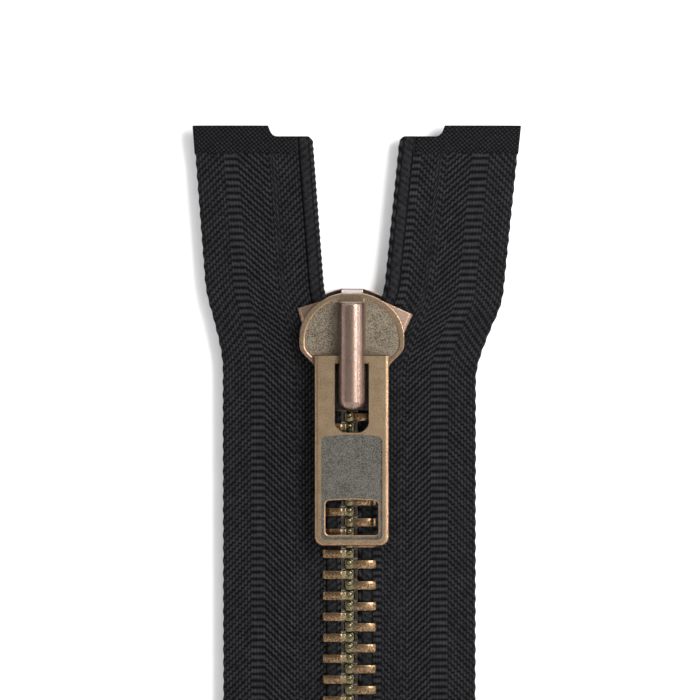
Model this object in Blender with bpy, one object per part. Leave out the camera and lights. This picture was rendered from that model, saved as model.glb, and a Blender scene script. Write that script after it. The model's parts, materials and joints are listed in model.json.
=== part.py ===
"""Separating metal zipper: two woven tapes, rows of clamped teeth, a self-locking slider and its pull.

The chain's centre line is the Z axis and the tapes lie in the XZ plane. The front faces -Y. The origin is
on the centre line at the tapes' bottom edge. Widths called "outward" are measured away from the centre
line, so the same numbers serve the left side (towards -X) and the right side (towards +X).
"""

import math

import bmesh
import bpy
from mathutils import Matrix, Vector

MM = 0.001
GAP = 0.05 * MM  # between pieces that touch on the real zipper
LEFT, RIGHT = -1, 1

# Tape
TAPE_LENGTH = 113.9 * MM
TAPE_WIDTH = 19.8 * MM
TAPE_THICKNESS = 0.6 * MM
MARGIN_THICKNESS = 0.56 * MM  # the sewing margin is woven a little thinner
MARGIN_BESIDE_SLIDER = 0.55 * MM  # the margin starts this far outside the slider's reach
MARGIN_SLOPE = 0.1 * MM
BEAD_WIDTH = 2.45 * MM
BEAD_THICKNESS = 1.7 * MM
BEAD_CORNER = 0.55 * MM
BEAD_START = 1.4 * MM  # from the centre line to the bead while the chain is closed
TOP_STEP_DROP = 1.8 * MM  # how much lower the tape ends next to the bead
TOP_STEP_AT = 7.1 * MM  # outward from the bead's inner edge
TOP_STEP_RUN = 1.2 * MM
SPLIT_BELOW_TOOTH = 1.08 * MM  # from the line where the stringers turn up to the lowest tooth that turns
TAPE_STATIONS = 36

# How the tapes part above the slider: an S-bend through the slider, then a steady lean
SPREAD = {LEFT: 2.5 * MM, RIGHT: 4.0 * MM}
SPREAD_LENGTH = 15.0 * MM
LEAN = {LEFT: 0.075, RIGHT: 0.10}
LEAN_START_ABOVE = 9.1 * MM  # above the start of the S-bend
EDGE_LEAD = {LEFT: 0.0, RIGHT: 0.09}  # the selvedge starts to bend this much lower, per metre outward

# Teeth
PITCH = 3.54 * MM
FIRST_TOOTH = 17.34 * MM  # height of the lowest left tooth
TEETH = {LEFT: 17, RIGHT: 17}
TOOTH_REACH = 0.95 * MM  # how far a head passes the centre line
TOOTH_LEG_PAST_BEAD = 0.65 * MM
TOOTH_LEG_THICKNESS = 1.46 * MM
TOOTH_DEPTH = 3.3 * MM
TOOTH_TIP = 0.2 * MM  # length over which the head's end tapers
HOOK_SLOPE = 0.2 * MM  # length over which a leg steps down behind the bead
HEAD_CLEARANCE = 0.045 * MM
NUB_HEIGHT = 0.22 * MM
NUB_INSET = 0.28 * MM
CUP_DEPTH = 0.34 * MM
CUP_INSET = 0.22 * MM
NUB_SLOPE = 0.12 * MM  # how far the sides of the nub and the cup lean in

# Top stops
STOP_HEIGHT = 4.0 * MM
STOP_WIDTH = 6.2 * MM
STOP_SET = {LEFT: -0.5 * MM, RIGHT: 0.3 * MM}  # how far out each band was clamped
STOP_METAL = 0.5 * MM
STOP_DEPTH = 3.1 * MM
STOP_CORNER = 0.5 * MM
STOP_ABOVE_TEETH = 7.15 * MM  # from the topmost tooth to the middle of a stop

# Slider body
SLIDER_SHIFT = 0.4 * MM  # side play: the slider sits to the right of the chain's centre line
SLIDER_LENGTH = 19.7 * MM
SLIDER_WIDTH = 17.5 * MM
SLIDER_NOSE = 7.5 * MM  # from the widest place to the nose
SHOULDER_BELOW = 1.4 * MM
TAPER_LENGTH = 4.2 * MM
SLIDER_CORNER = 1.0 * MM
PLATE_THICKNESS = 1.2 * MM
CHANNEL_CLEARANCE = 0.1 * MM  # between a tooth's face and a plate
CHANNEL_SIDE_PLAY = 0.5 * MM
CHANNEL_STRAIGHT = 6.5 * MM  # length of the straight part of the channel
MOUTH_WIDENING = 1.4 * MM
FLANGE_LENGTH = 12.0 * MM
FLANGE_WALL = 0.9 * MM
TAPE_SLOT = 1.4 * MM
WEDGE_LENGTH = 7.2 * MM
WEDGE_WIDTH = 3.5 * MM
WEDGE_TIP_WIDTH = 0.24 * MM
WEDGE_SHOULDER = 4.6 * MM  # from the nose to where the wedge is six tenths wide
WEDGE_STRAIGHT = 1.6 * MM  # from the nose to where the wedge has its full width
WEDGE_SET_BACK = 0.2 * MM
FIELD_DEPTH = 0.35 * MM
FIELD_UNDER_COVER = 0.35 * MM
FIELD_LEAST_WIDTH = 0.1 * MM
RIM_WIDTH = 0.8 * MM

# Slider cover, with what is under it
COVER_WIDTH = 4.8 * MM
COVER_BELOW_NOSE = 1.4 * MM  # from the slider's nose down to the cover's open end
COVER_OVERHANG = 0.1 * MM  # past the slider's rear
COVER_HEIGHT = 4.55 * MM
COVER_METAL = 0.75 * MM
COVER_BULLET = 1.9 * MM
COVER_ROUNDNESS = 2.6  # exponent of the cross-section's curve
HOLLOW_ROUNDNESS = 6.0
COVER_END_WALL = 1.5 * MM
COVER_FRONT_WALL = 0.9 * MM
BAR_WINDOW_CLEARANCE = 0.3 * MM
BAR_WINDOW_CORNER = 0.3 * MM
POST_HEIGHT = 2.0 * MM
POST_THICKNESS = 1.4 * MM
POST_CLEARANCE = 0.2 * MM
REAR_POST_ABOVE = 1.7 * MM
FRONT_POST_BELOW = 3.2 * MM  # from the cover's open end down to the front post
PIN_THICKNESS = 0.75 * MM
PIN_TO_WALL = 0.25 * MM
PRONG_WIDTH = 1.0 * MM
PRONG_PLAY = 0.2 * MM
PRONG_TIP_ABOVE_BEAD = 0.3 * MM
PRONG_ABOVE_REAR = 4.04 * MM  # where the prong stands in the slider
PIN_ARM = 0.45 * MM
PIN_CHAMFER = 0.3 * MM
PIN_TAIL = 1.2 * MM
PIN_TO_POST = 0.76 * MM
SPRING_SET_BACK = 0.2 * MM  # of the spring's foot from the front post's far side
SPRING_THICKNESS = 0.2 * MM
SPRING_WIDTH = 1.8 * MM
SPRING_BELOW_ROOF = 0.3 * MM
SPRING_LENGTH = 12.4 * MM
TEETH_BELOW_PRONG = 14  # pitches from the lowest right tooth's upper gap to the gap that the prong sits in

# Pull tab
PULL_WIDTH = 12.4 * MM
PULL_LENGTH = 32.0 * MM
PULL_THICKNESS = 1.6 * MM
PULL_CORNER = 1.5 * MM
PULL_TOP_CORNER = 0.35 * MM
PULL_BAR = 1.4 * MM
PULL_SLOT_PLAY = 0.45 * MM  # beside the cover
PULL_SLOT_LENGTH = 11.6 * MM
PULL_SLOT_CHAMFER = 1.45 * MM
PULL_PANEL_RIM = 1.1 * MM
PULL_PANEL_LENGTH = 17.2 * MM
PULL_PANEL_DEPTH = 0.3 * MM
PULL_PANEL_CORNER = 0.8 * MM
PULL_WINDOW_WIDTH = 8.8 * MM
PULL_WINDOW_HEIGHT = 5.7 * MM
PULL_WINDOW_ABOVE = 1.8 * MM
PULL_WINDOW_CORNER = 0.6 * MM
PULL_PIVOT_ABOVE_REAR = 8.7 * MM
BAR_CLEARANCE = 0.085 * MM  # between the turning bar's corners and the plate

# Separating bottom end
BOX_SIDE_WALL = 1.1 * MM
BOX_FACE_WALL = 0.9 * MM
BOX_HEIGHT = 12.3 * MM
BOX_FLOOR = 0.9 * MM
BOX_CORNER = 1.0 * MM
PIN_CLEARANCE = 0.1 * MM
END_PIN_BELOW_TEETH = 0.31 * MM
END_PIN_DEPTH = 3.0 * MM
END_PIN_CORNER = 0.4 * MM
END_PIN_BEVEL = 0.1 * MM
END_PIN_PAST_BEAD = 0.45 * MM
END_PIN_SPACING = 0.1 * MM  # from the centre line to either end pin

# Films pressed on the tapes
FILM_THICKNESS = 0.12 * MM
BOTTOM_FILM_HEIGHT = 17.0 * MM
TOP_FILM_HEIGHT = 4.6 * MM
FILM_TO_BOX = 0.5 * MM
FILM_TO_BEAD = 0.3 * MM

# What follows from the sizes above
HEAD_THICKNESS = PITCH / 2 - 2 * HEAD_CLEARANCE
BEAD_END = BEAD_START + BEAD_WIDTH
BEAD_SIDE = BEAD_THICKNESS / 2 + GAP
TAPE_SIDE = TAPE_THICKNESS / 2 + GAP
TAPE_SPLIT = FIRST_TOOTH + PITCH - SPLIT_BELOW_TOOTH
TOOTH_LEG_END = BEAD_END + TOOTH_LEG_PAST_BEAD
STOP_AT = FIRST_TOOTH + PITCH * (TEETH[RIGHT] - 0.5) + STOP_ABOVE_TEETH
PRONG_Z = FIRST_TOOTH + PITCH * (TEETH_BELOW_PRONG + 1)
SLIDER_REAR = PRONG_Z - PRONG_ABOVE_REAR
CHANNEL_HALF_WIDTH = TOOTH_LEG_END + CHANNEL_SIDE_PLAY
SLIDER_REAR_WIDTH = 2 * (CHANNEL_HALF_WIDTH + FLANGE_WALL)
SPREAD_START = SLIDER_REAR + CHANNEL_STRAIGHT
MARGIN_AT = SLIDER_SHIFT + SLIDER_WIDTH / 2 - BEAD_START + MARGIN_BESIDE_SLIDER
CHANNEL_HALF = TOOTH_DEPTH / 2 + CHANNEL_CLEARANCE
PLATE_FACE = CHANNEL_HALF + PLATE_THICKNESS
SLIDER_WIDEST = SLIDER_REAR + SLIDER_LENGTH - SLIDER_NOSE
SLIDER_FRONT = SLIDER_REAR + SLIDER_LENGTH
COVER_REAR = SLIDER_REAR - COVER_OVERHANG
COVER_TOP = SLIDER_FRONT - COVER_BELOW_NOSE
COVER_BASE = PLATE_FACE + GAP
FRONT_POST = COVER_TOP - FRONT_POST_BELOW
COVER_ROOF = COVER_BASE + COVER_HEIGHT - COVER_METAL
PULL_PIVOT_Z = SLIDER_REAR + PULL_PIVOT_ABOVE_REAR
BAR_REACH = math.hypot(PULL_BAR, PULL_THICKNESS) / 2
PULL_PIVOT_Y = -(PLATE_FACE + BAR_REACH + BAR_CLEARANCE)
PULL_TOP = PULL_PIVOT_Z + PULL_BAR / 2
PULL_SLOT_WIDTH = COVER_WIDTH + 2 * PULL_SLOT_PLAY
ARM_FACE = -PULL_PIVOT_Y + BAR_REACH + GAP
END_PIN_REACH = BEAD_END + END_PIN_PAST_BEAD
END_PIN_TOP = FIRST_TOOTH - TOOTH_LEG_THICKNESS / 2 - END_PIN_BELOW_TEETH
BOX_WIDTH = 2 * (END_PIN_REACH + PIN_CLEARANCE + BOX_SIDE_WALL)
BOX_DEPTH = END_PIN_DEPTH + 2 * (PIN_CLEARANCE + BOX_FACE_WALL)


def clear_scene():
    for old in list(bpy.data.objects):
        bpy.data.objects.remove(old, do_unlink=True)


def material(name, colour, roughness, metallic):
    made = bpy.data.materials.new(name)
    made.use_nodes = True
    made.diffuse_color = (*colour, 1)
    shader = made.node_tree.nodes["Principled BSDF"]
    shader.inputs["Base Color"].default_value = (*colour, 1)
    shader.inputs["Roughness"].default_value = roughness
    shader.inputs["Metallic"].default_value = metallic
    return made


def axis_empty(name, place, parent=None):
    """An empty on a joint's axis; what it carries is placed from it."""
    empty = bpy.data.objects.new(name, None)
    empty.empty_display_size = 5 * MM
    bpy.context.collection.objects.link(empty)
    empty.parent = parent
    empty.location = Vector(place) - (parent.matrix_world.translation if parent else Vector())
    bpy.context.view_layer.update()
    return empty


def add_piece(name, shape, finish, carrier=None):
    """An object from a bmesh in world places, carried by an empty."""
    mesh = bpy.data.meshes.new(name)
    bmesh.ops.recalc_face_normals(shape, faces=shape.faces)
    if carrier:
        bmesh.ops.translate(shape, verts=shape.verts, vec=-carrier.matrix_world.translation)
    shape.to_mesh(mesh)
    shape.free()
    piece = bpy.data.objects.new(name, mesh)
    piece.parent = carrier
    bpy.context.collection.objects.link(piece)
    mesh.materials.append(finish)
    return piece


def combine(piece, other, operation):
    """Join other to the piece, or cut it away, and hide other."""
    other.hide_render = True
    other.display_type = "WIRE"
    modifier = piece.modifiers.new(other.name, "BOOLEAN")
    modifier.object = other
    modifier.operation = operation
    modifier.solver = "EXACT"


def smooth(piece, degrees=35):
    piece.data.shade_smooth()
    piece.data.set_sharp_from_angle(angle=math.radians(degrees))


def smoothstep(t):
    t = min(max(t, 0.0), 1.0)
    return t * t * (3 - 2 * t)


def loft(rings, paired_ends=False):
    """A closed solid through rings of equally many points.

    An end is one face or, for a ring that runs out along one side and back along the other, a row of
    four-sided faces between the points that face each other, which suits an end that isn't flat.
    """
    shape = bmesh.new()
    rows = [[shape.verts.new(p) for p in ring] for ring in rings]
    for low, high in zip(rows, rows[1:]):
        for i in range(len(low)):
            j = (i + 1) % len(low)
            shape.faces.new((low[i], low[j], high[j], high[i]))
    for row in (rows[0][::-1], rows[-1]):
        if paired_ends:
            for i in range(len(row) // 2 - 1):
                shape.faces.new((row[i], row[i + 1], row[-2 - i], row[-1 - i]))
        else:
            shape.faces.new(row)
    return shape


def prism_y(outline, front, back):
    """A prism from an (x, z) outline, between two values of Y."""
    return loft([[(x, y, z) for x, z in outline] for y in (front, back)])


def prism_x(outline, low, high):
    """A prism from a (y, z) outline, between two values of X."""
    return loft([[(x, y, z) for y, z in outline] for x in (low, high)])


def rounded_rectangle(x, z, width, height, radii, steps=5):
    """Outline of a rectangle centred on (x, z); the radii start at the lower left and run anticlockwise."""
    corners = [(-1, -1, 180), (1, -1, 270), (1, 1, 0), (-1, 1, 90)]
    outline = []
    for (sx, sz, first), radius in zip(corners, radii):
        cx = x + sx * (width / 2 - radius)
        cz = z + sz * (height / 2 - radius)
        for i in range(steps + 1):
            turn = math.radians(first + 90 * i / steps)
            outline.append((cx + radius * math.cos(turn), cz + radius * math.sin(turn)))
    return outline


def spread(side, z, outward=0.0):
    """How far the tape has moved from its closed place at height z."""
    z = z + EDGE_LEAD[side] * outward
    bend = SPREAD[side] * smoothstep((z - SPREAD_START) / SPREAD_LENGTH)
    return bend + LEAN[side] * max(0.0, z - SPREAD_START - LEAN_START_ABOVE)


def tape_x(side, z, outward):
    """X of a point of the tape, outward from the bead's inner edge."""
    return side * (BEAD_START + outward + spread(side, z, outward))


def tape_top(outward):
    """Height of the tape's top edge: lower beside the bead, with a small step."""
    step = (outward - TOP_STEP_AT) / TOP_STEP_RUN + 0.5
    return TAPE_LENGTH - TOP_STEP_DROP * (1 - smoothstep(step))


def tape_bottom(outward):
    """The tape starts above the retainer box's floor where the box holds it."""
    inside_box = BEAD_START + outward < BOX_WIDTH / 2 + 2 * GAP
    return BOX_FLOOR + GAP if inside_box else 0.0


def tape_section():
    """(outward, y) points around the tape: a rounded bead, the flat web, then the sewing margin."""
    half_bead, half_web, half_margin = BEAD_THICKNESS / 2, TAPE_THICKNESS / 2, MARGIN_THICKNESS / 2
    corner = BEAD_CORNER
    front = [
        (TAPE_WIDTH, -half_margin),
        (MARGIN_AT, -half_margin),
        (MARGIN_AT - MARGIN_SLOPE, -half_web),
        (TOP_STEP_AT + TOP_STEP_RUN / 2, -half_web),
        (TOP_STEP_AT, -half_web),
        (TOP_STEP_AT - TOP_STEP_RUN / 2, -half_web),
        (BOX_WIDTH / 2 - BEAD_START + 4 * GAP, -half_web),
        (BOX_WIDTH / 2 - BEAD_START + GAP, -half_web),
        (BEAD_WIDTH, -half_web),
        (BEAD_WIDTH - corner / 2, -half_bead + corner / 3),
        (BEAD_WIDTH - corner, -half_bead),
        (corner, -half_bead),
        (corner / 4, -half_bead + corner / 3),
        (0.0, -half_bead + corner),
    ]
    return front + [(u, -y) for u, y in reversed(front)]


def film_section(inner):
    """(outward, y) points of a film folded around the selvedge."""
    inside = TAPE_THICKNESS / 2 + GAP
    outside = inside + FILM_THICKNESS
    edge = TAPE_WIDTH + GAP
    run = [inner] + [TOP_STEP_AT + TOP_STEP_RUN * k for k in (-0.5, 0, 0.5)]
    outer = [(u, -outside) for u in run] + [(edge + FILM_THICKNESS, -outside)]
    hollow = [(u, -inside) for u in run] + [(edge, -inside)]
    return outer + [(u, -y) for u, y in outer[::-1] + hollow] + hollow[::-1]


def strip(side, section, low, high, steps):
    """A strip of constant section that follows the tape's bend; low and high give the end heights."""
    rings = []
    for i in range(steps + 1):
        ring = []
        for u, y in section:
            z = low(u) + (high(u) - low(u)) * i / steps
            ring.append((tape_x(side, z, u), y, z))
        rings.append(ring)
    return loft(rings, paired_ends=True)


def in_head_middle(face):
    """Whether a face of a tooth is centred on the head."""
    middle = face.calc_center_median()
    return max(abs(middle.x), abs(middle.y)) < TOOTH_TIP


def tooth_shape(side):
    """One tooth about the centre line: a head with a nub above and a cup below, and two clamped legs."""
    face, inner = TOOTH_DEPTH / 2, BEAD_SIDE
    head, leg = HEAD_THICKNESS / 2, TOOTH_LEG_THICKNESS / 2
    neck = BEAD_START - GAP * 2
    sections = [
        (-TOOTH_REACH, face * 0.72, head * 0.72),
        (-TOOTH_REACH + TOOTH_TIP, face * 0.85, head),
        (TOOTH_REACH - TOOTH_TIP, face * 0.88, head),
        (TOOTH_REACH + GAP, face * 0.92, leg),
        (neck, face, leg),
    ]
    rings = []
    for q, d, h in sections:
        row = [(-d, -h), (-inner, -h), (inner, -h), (d, -h)]
        rings.append([(side * q, y, z) for y, z in row + [(y, -z) for y, z in reversed(row)]])
    shape = loft(rings)
    shape.faces.ensure_lookup_table()
    end = shape.faces[-1]
    corners = list(end.verts)
    bmesh.ops.delete(shape, geom=[end], context="FACES_ONLY")
    legs = []
    for a, b in ((0, 1), (1, 2), (2, 3)):
        quad = shape.faces.new((corners[a], corners[b], corners[7 - b], corners[7 - a]))
        if (a, b) != (1, 2):
            legs.append(quad)
    hook = BEAD_END + GAP
    for stop, grip in ((hook, inner), (hook + HOOK_SLOPE, TAPE_SIDE), (TOOTH_LEG_END, TAPE_SIDE)):
        grown = []
        for quad in legs:
            made = bmesh.ops.extrude_face_region(shape, geom=[quad])["geom"]
            bmesh.ops.delete(shape, geom=[quad], context="FACES_ONLY")
            cap = next(g for g in made if isinstance(g, bmesh.types.BMFace))
            for vert in cap.verts:
                near = abs(vert.co.y) < face - GAP
                vert.co.x = side * stop
                if near:
                    vert.co.y = math.copysign(grip, vert.co.y)
            grown.append(cap)
        legs = grown
    bmesh.ops.recalc_face_normals(shape, faces=shape.faces)
    for upward, inset, depth in ((1, NUB_INSET, NUB_HEIGHT), (-1, CUP_INSET, -CUP_DEPTH)):
        flat = [f for f in shape.faces if f.normal.z * upward > 0.99 and in_head_middle(f)]
        bmesh.ops.inset_individual(shape, faces=flat, thickness=inset, use_even_offset=True)
        bmesh.ops.inset_individual(shape, faces=flat, thickness=NUB_SLOPE, depth=depth)
    return shape


def stop_shape(side):
    """A folded band around the bead, in its own frame: x outward from the bead's inner edge, z along it."""
    outer = STOP_DEPTH / 2
    play = 3 * GAP
    bead_end = BEAD_WIDTH + play
    grip = TAPE_SIDE + GAP
    corner = STOP_CORNER
    fold = min(STOP_SET[side], 0.0) - STOP_METAL - play
    end = fold + STOP_WIDTH + max(STOP_SET[side], 0.0)
    front = [
        (end, -grip),
        (bead_end, -grip),
        (bead_end, -BEAD_SIDE - GAP),
        (-play, -BEAD_SIDE - GAP),
    ]
    shell = [
        (fold, -outer + corner),
        (fold + corner / 3, -outer + corner / 3),
        (fold + corner, -outer),
        (end - corner, -outer),
        (end, -outer + corner),
    ]
    section = front + [(x, -y) for x, y in reversed(front)]
    section += [(x, -y) for x, y in reversed(shell)] + shell
    half = STOP_HEIGHT / 2
    return loft([[(side * x, y, z) for x, y in section] for z in (-half, half)])


def lean_turn(side, z):
    """The turn that sets a piece square to the tape where it leans at height z."""
    step = 0.5 * MM
    rise = (spread(side, z + step) - spread(side, z - step)) / (2 * step)
    return Matrix.Rotation(side * math.atan(rise), 4, "Y")


def place_stop(side):
    """The stop's shape turned to the tape's lean and set on the bead."""
    place = Matrix.Translation((tape_x(side, STOP_AT, 0.0), 0, STOP_AT))
    shape = stop_shape(side)
    bmesh.ops.transform(shape, matrix=place @ lean_turn(side, STOP_AT), verts=shape.verts)
    return shape


def slider_half_width(z):
    """Half of the slider plate's width at height z."""
    half, rear = SLIDER_WIDTH / 2, SLIDER_REAR_WIDTH / 2
    if z >= SLIDER_WIDEST:
        return half * math.sqrt(max(0.0, 1 - ((z - SLIDER_WIDEST) / SLIDER_NOSE) ** 2))
    taper = smoothstep((SLIDER_WIDEST - SHOULDER_BELOW - z) / TAPER_LENGTH)
    width = half + (rear - half) * taper
    into_corner = SLIDER_CORNER - (z - SLIDER_REAR)
    if into_corner > 0:
        width -= SLIDER_CORNER - math.sqrt(max(0.0, SLIDER_CORNER**2 - into_corner**2))
    return width


def slider_heights(low, high):
    """Heights at which the plate's outline is drawn, closer where it curves."""
    rear = [SLIDER_REAR + SLIDER_CORNER * (1 - math.cos(math.radians(a))) for a in range(0, 91, 18)]
    top_of_taper = SLIDER_WIDEST - SHOULDER_BELOW
    taper = [top_of_taper - TAPER_LENGTH * (1 - k / 8) for k in range(9)]
    nose = [SLIDER_WIDEST + SLIDER_NOSE * math.sin(math.radians(a)) for a in range(0, 91, 6)]
    return [z for z in rear + taper + nose if low <= z <= high]


def slider_outline():
    heights = slider_heights(SLIDER_REAR, SLIDER_FRONT)
    right = [(SLIDER_SHIFT + slider_half_width(z), z) for z in heights[:-1]]
    left = [(SLIDER_SHIFT - slider_half_width(z), z) for z in reversed(heights[:-1])]
    return right + left


def field_outline(side):
    """The sunk field beside the cover: the plate's outline, a rim's width inside it."""
    inner = COVER_WIDTH / 2 - FIELD_UNDER_COVER
    edge = []
    for z in slider_heights(SLIDER_REAR + 1.5 * RIM_WIDTH, SLIDER_FRONT - RIM_WIDTH):
        reach = slider_half_width(z + (RIM_WIDTH / 2 if z > SLIDER_WIDEST else 0)) - RIM_WIDTH
        if reach > inner + FIELD_LEAST_WIDTH:
            edge.append((SLIDER_SHIFT + side * reach, z))
    return edge + [(SLIDER_SHIFT + side * inner, edge[-1][1]), (SLIDER_SHIFT + side * inner, edge[0][1])]


def mirrored(points):
    """Outline points on the right of the slider's middle, and their mirror images."""
    right = [(SLIDER_SHIFT + x, z) for x, z in points]
    return right + [(SLIDER_SHIFT - x, z) for x, z in reversed(points)]


def build_slider_body(carrier, finish):
    beyond = 1 * MM
    below, above = SLIDER_REAR - beyond, SLIDER_FRONT + beyond
    side_beyond = SLIDER_WIDTH / 2 + beyond
    flange_top = SLIDER_REAR + FLANGE_LENGTH
    mouth = CHANNEL_HALF_WIDTH + MOUTH_WIDENING
    body = add_piece("slider_body", prism_y(slider_outline(), -PLATE_FACE, PLATE_FACE), finish, carrier)
    channel = mirrored(
        [(CHANNEL_HALF_WIDTH, below), (CHANNEL_HALF_WIDTH, SPREAD_START), (mouth, flange_top),
         (side_beyond, flange_top), (side_beyond, above)]
    )
    slot = mirrored([(side_beyond, below), (side_beyond, above)])
    wedge = mirrored(
        [(WEDGE_TIP_WIDTH / 2, SLIDER_FRONT - WEDGE_LENGTH),
         (WEDGE_WIDTH * 0.3, SLIDER_FRONT - WEDGE_SHOULDER),
         (WEDGE_WIDTH / 2, SLIDER_FRONT - WEDGE_STRAIGHT),
         (WEDGE_WIDTH / 2, SLIDER_FRONT - WEDGE_SET_BACK)]
    )
    into_plate = CHANNEL_HALF + PLATE_THICKNESS / 4
    post_half = COVER_WIDTH / 2 - COVER_METAL - POST_CLEARANCE
    field_span = (-PLATE_FACE - beyond, -PLATE_FACE + FIELD_DEPTH)
    cuts = [
        ("channel_cutter", prism_y(channel, -CHANNEL_HALF, CHANNEL_HALF)),
        ("tape_slot_cutter", prism_y(slot, -TAPE_SLOT / 2, TAPE_SLOT / 2)),
        ("left_field_cutter", prism_y(field_outline(LEFT), *field_span)),
        ("right_field_cutter", prism_y(field_outline(RIGHT), *field_span)),
        ("prong_hole_cutter", prong_hole()),
    ]
    joins = [("wedge_block", prism_y(wedge, -into_plate, into_plate))]
    for name, low in (("rear_post", COVER_REAR + REAR_POST_ABOVE), ("front_post", FRONT_POST)):
        outline = mirrored([(post_half, low), (post_half, low + POST_THICKNESS)])
        joins.append((name, prism_y(outline, -PLATE_FACE - POST_HEIGHT, -PLATE_FACE + PLATE_THICKNESS / 3)))
    for name, shape in cuts:
        combine(body, add_piece(name, shape, finish), "DIFFERENCE")
    for name, shape in joins:
        combine(body, add_piece(name, shape, finish), "UNION")
    smooth(body)
    return body


def prong_sides():
    """X of the locking pin's two faces: beside the heads and above the right bead."""
    right = SLIDER_SHIFT + COVER_WIDTH / 2 - COVER_METAL - PIN_TO_WALL
    return right - PIN_THICKNESS, right


def prong_hole():
    low, high = prong_sides()
    left, right = low - PRONG_PLAY, high + PRONG_PLAY
    half = PRONG_WIDTH / 2 + PRONG_PLAY
    below, above = PRONG_Z - half, PRONG_Z + half
    outline = [(left, below), (right, below), (right, above), (left, above)]
    return prism_y(outline, -PLATE_FACE - PLATE_THICKNESS, -CHANNEL_HALF + PLATE_THICKNESS / 2)


def build_locking_pin(carrier, finish):
    low, high = prong_sides()
    tip = -(BEAD_THICKNESS / 2 + PRONG_TIP_ABOVE_BEAD)
    start = PRONG_Z - PRONG_WIDTH / 2
    end = FRONT_POST - PIN_TO_POST
    face, back = -ARM_FACE, -ARM_FACE - PIN_ARM
    outline = [(back, start + PIN_CHAMFER), (back + PIN_CHAMFER, start), (tip - PIN_CHAMFER, start),
               (tip, start + PIN_CHAMFER), (tip, start + PRONG_WIDTH), (face, start + PRONG_WIDTH),
               (face, end - PIN_ARM), (face + PIN_TAIL, end - PIN_ARM), (face + PIN_TAIL, end), (back, end)]
    return add_piece("locking_pin", prism_x(outline, low, high), finish, carrier)


def build_leaf_spring(carrier, finish):
    roof = -COVER_ROOF + SPRING_BELOW_ROOF
    end = FRONT_POST + POST_THICKNESS - SPRING_SET_BACK
    start = end - SPRING_LENGTH
    low = roof + SPRING_THICKNESS
    foot = -PLATE_FACE - POST_HEIGHT - GAP
    outline = [(roof, start), (low, start), (low, end - SPRING_THICKNESS), (foot, end - SPRING_THICKNESS),
               (foot, end), (roof, end)]
    half = SPRING_WIDTH / 2
    shape = prism_x(outline, SLIDER_SHIFT - half, SLIDER_SHIFT + half)
    return add_piece("leaf_spring", shape, finish, carrier)


def arch_ring(z, width, height, base, roundness=COVER_ROUNDNESS, steps=12):
    """Half of a rounded arch about the slider's middle, rising towards the front."""
    ring = []
    for i in range(steps + 1):
        turn = math.pi * i / steps
        c, s = math.cos(turn), max(math.sin(turn), 0.0)
        x = math.copysign(abs(c) ** (2 / roundness), c) * width / 2
        ring.append((SLIDER_SHIFT + x, -base - height * s ** (2 / roundness), z))
    return ring


def build_cover(carrier, finish):
    rings = []
    for share in (0.02, 0.12, 0.3, 0.55, 0.8, 1.0):
        size = math.sqrt(1 - (1 - share) ** 2)
        height = COVER_HEIGHT * (0.45 + 0.55 * size)
        rings.append(arch_ring(COVER_REAR + COVER_BULLET * share, COVER_WIDTH * size, height, COVER_BASE))
    for drop, size in ((0.55, 1.0), (0.15, 0.965), (0.0, 0.9)):
        rings.append(arch_ring(COVER_TOP - drop * MM, COVER_WIDTH * size, COVER_HEIGHT * size, COVER_BASE))
    cover = add_piece("slider_cover", loft(rings), finish, carrier)
    inside = COVER_WIDTH - 2 * COVER_METAL
    sunk = COVER_METAL / 2
    hollow = [
        arch_ring(z, inside, COVER_HEIGHT - COVER_METAL + sunk, COVER_BASE - sunk, HOLLOW_ROUNDNESS, 24)
        for z in (COVER_REAR + COVER_END_WALL, COVER_TOP - COVER_FRONT_WALL)
    ]
    combine(cover, add_piece("cover_hollow_cutter", loft(hollow), finish), "DIFFERENCE")
    reach = BAR_REACH + BAR_WINDOW_CLEARANCE
    past_base = 0.5 * MM
    window = rounded_rectangle(PULL_PIVOT_Y + past_base, PULL_PIVOT_Z, 2 * (reach + past_base), 2 * reach,
                               [BAR_WINDOW_CORNER] * 4, 3)
    past = COVER_WIDTH / 2 + 1 * MM
    windows = prism_x(window, SLIDER_SHIFT - past, SLIDER_SHIFT + past)
    combine(cover, add_piece("bar_window_cutter", windows, finish), "DIFFERENCE")
    smooth(cover)
    return cover


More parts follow.
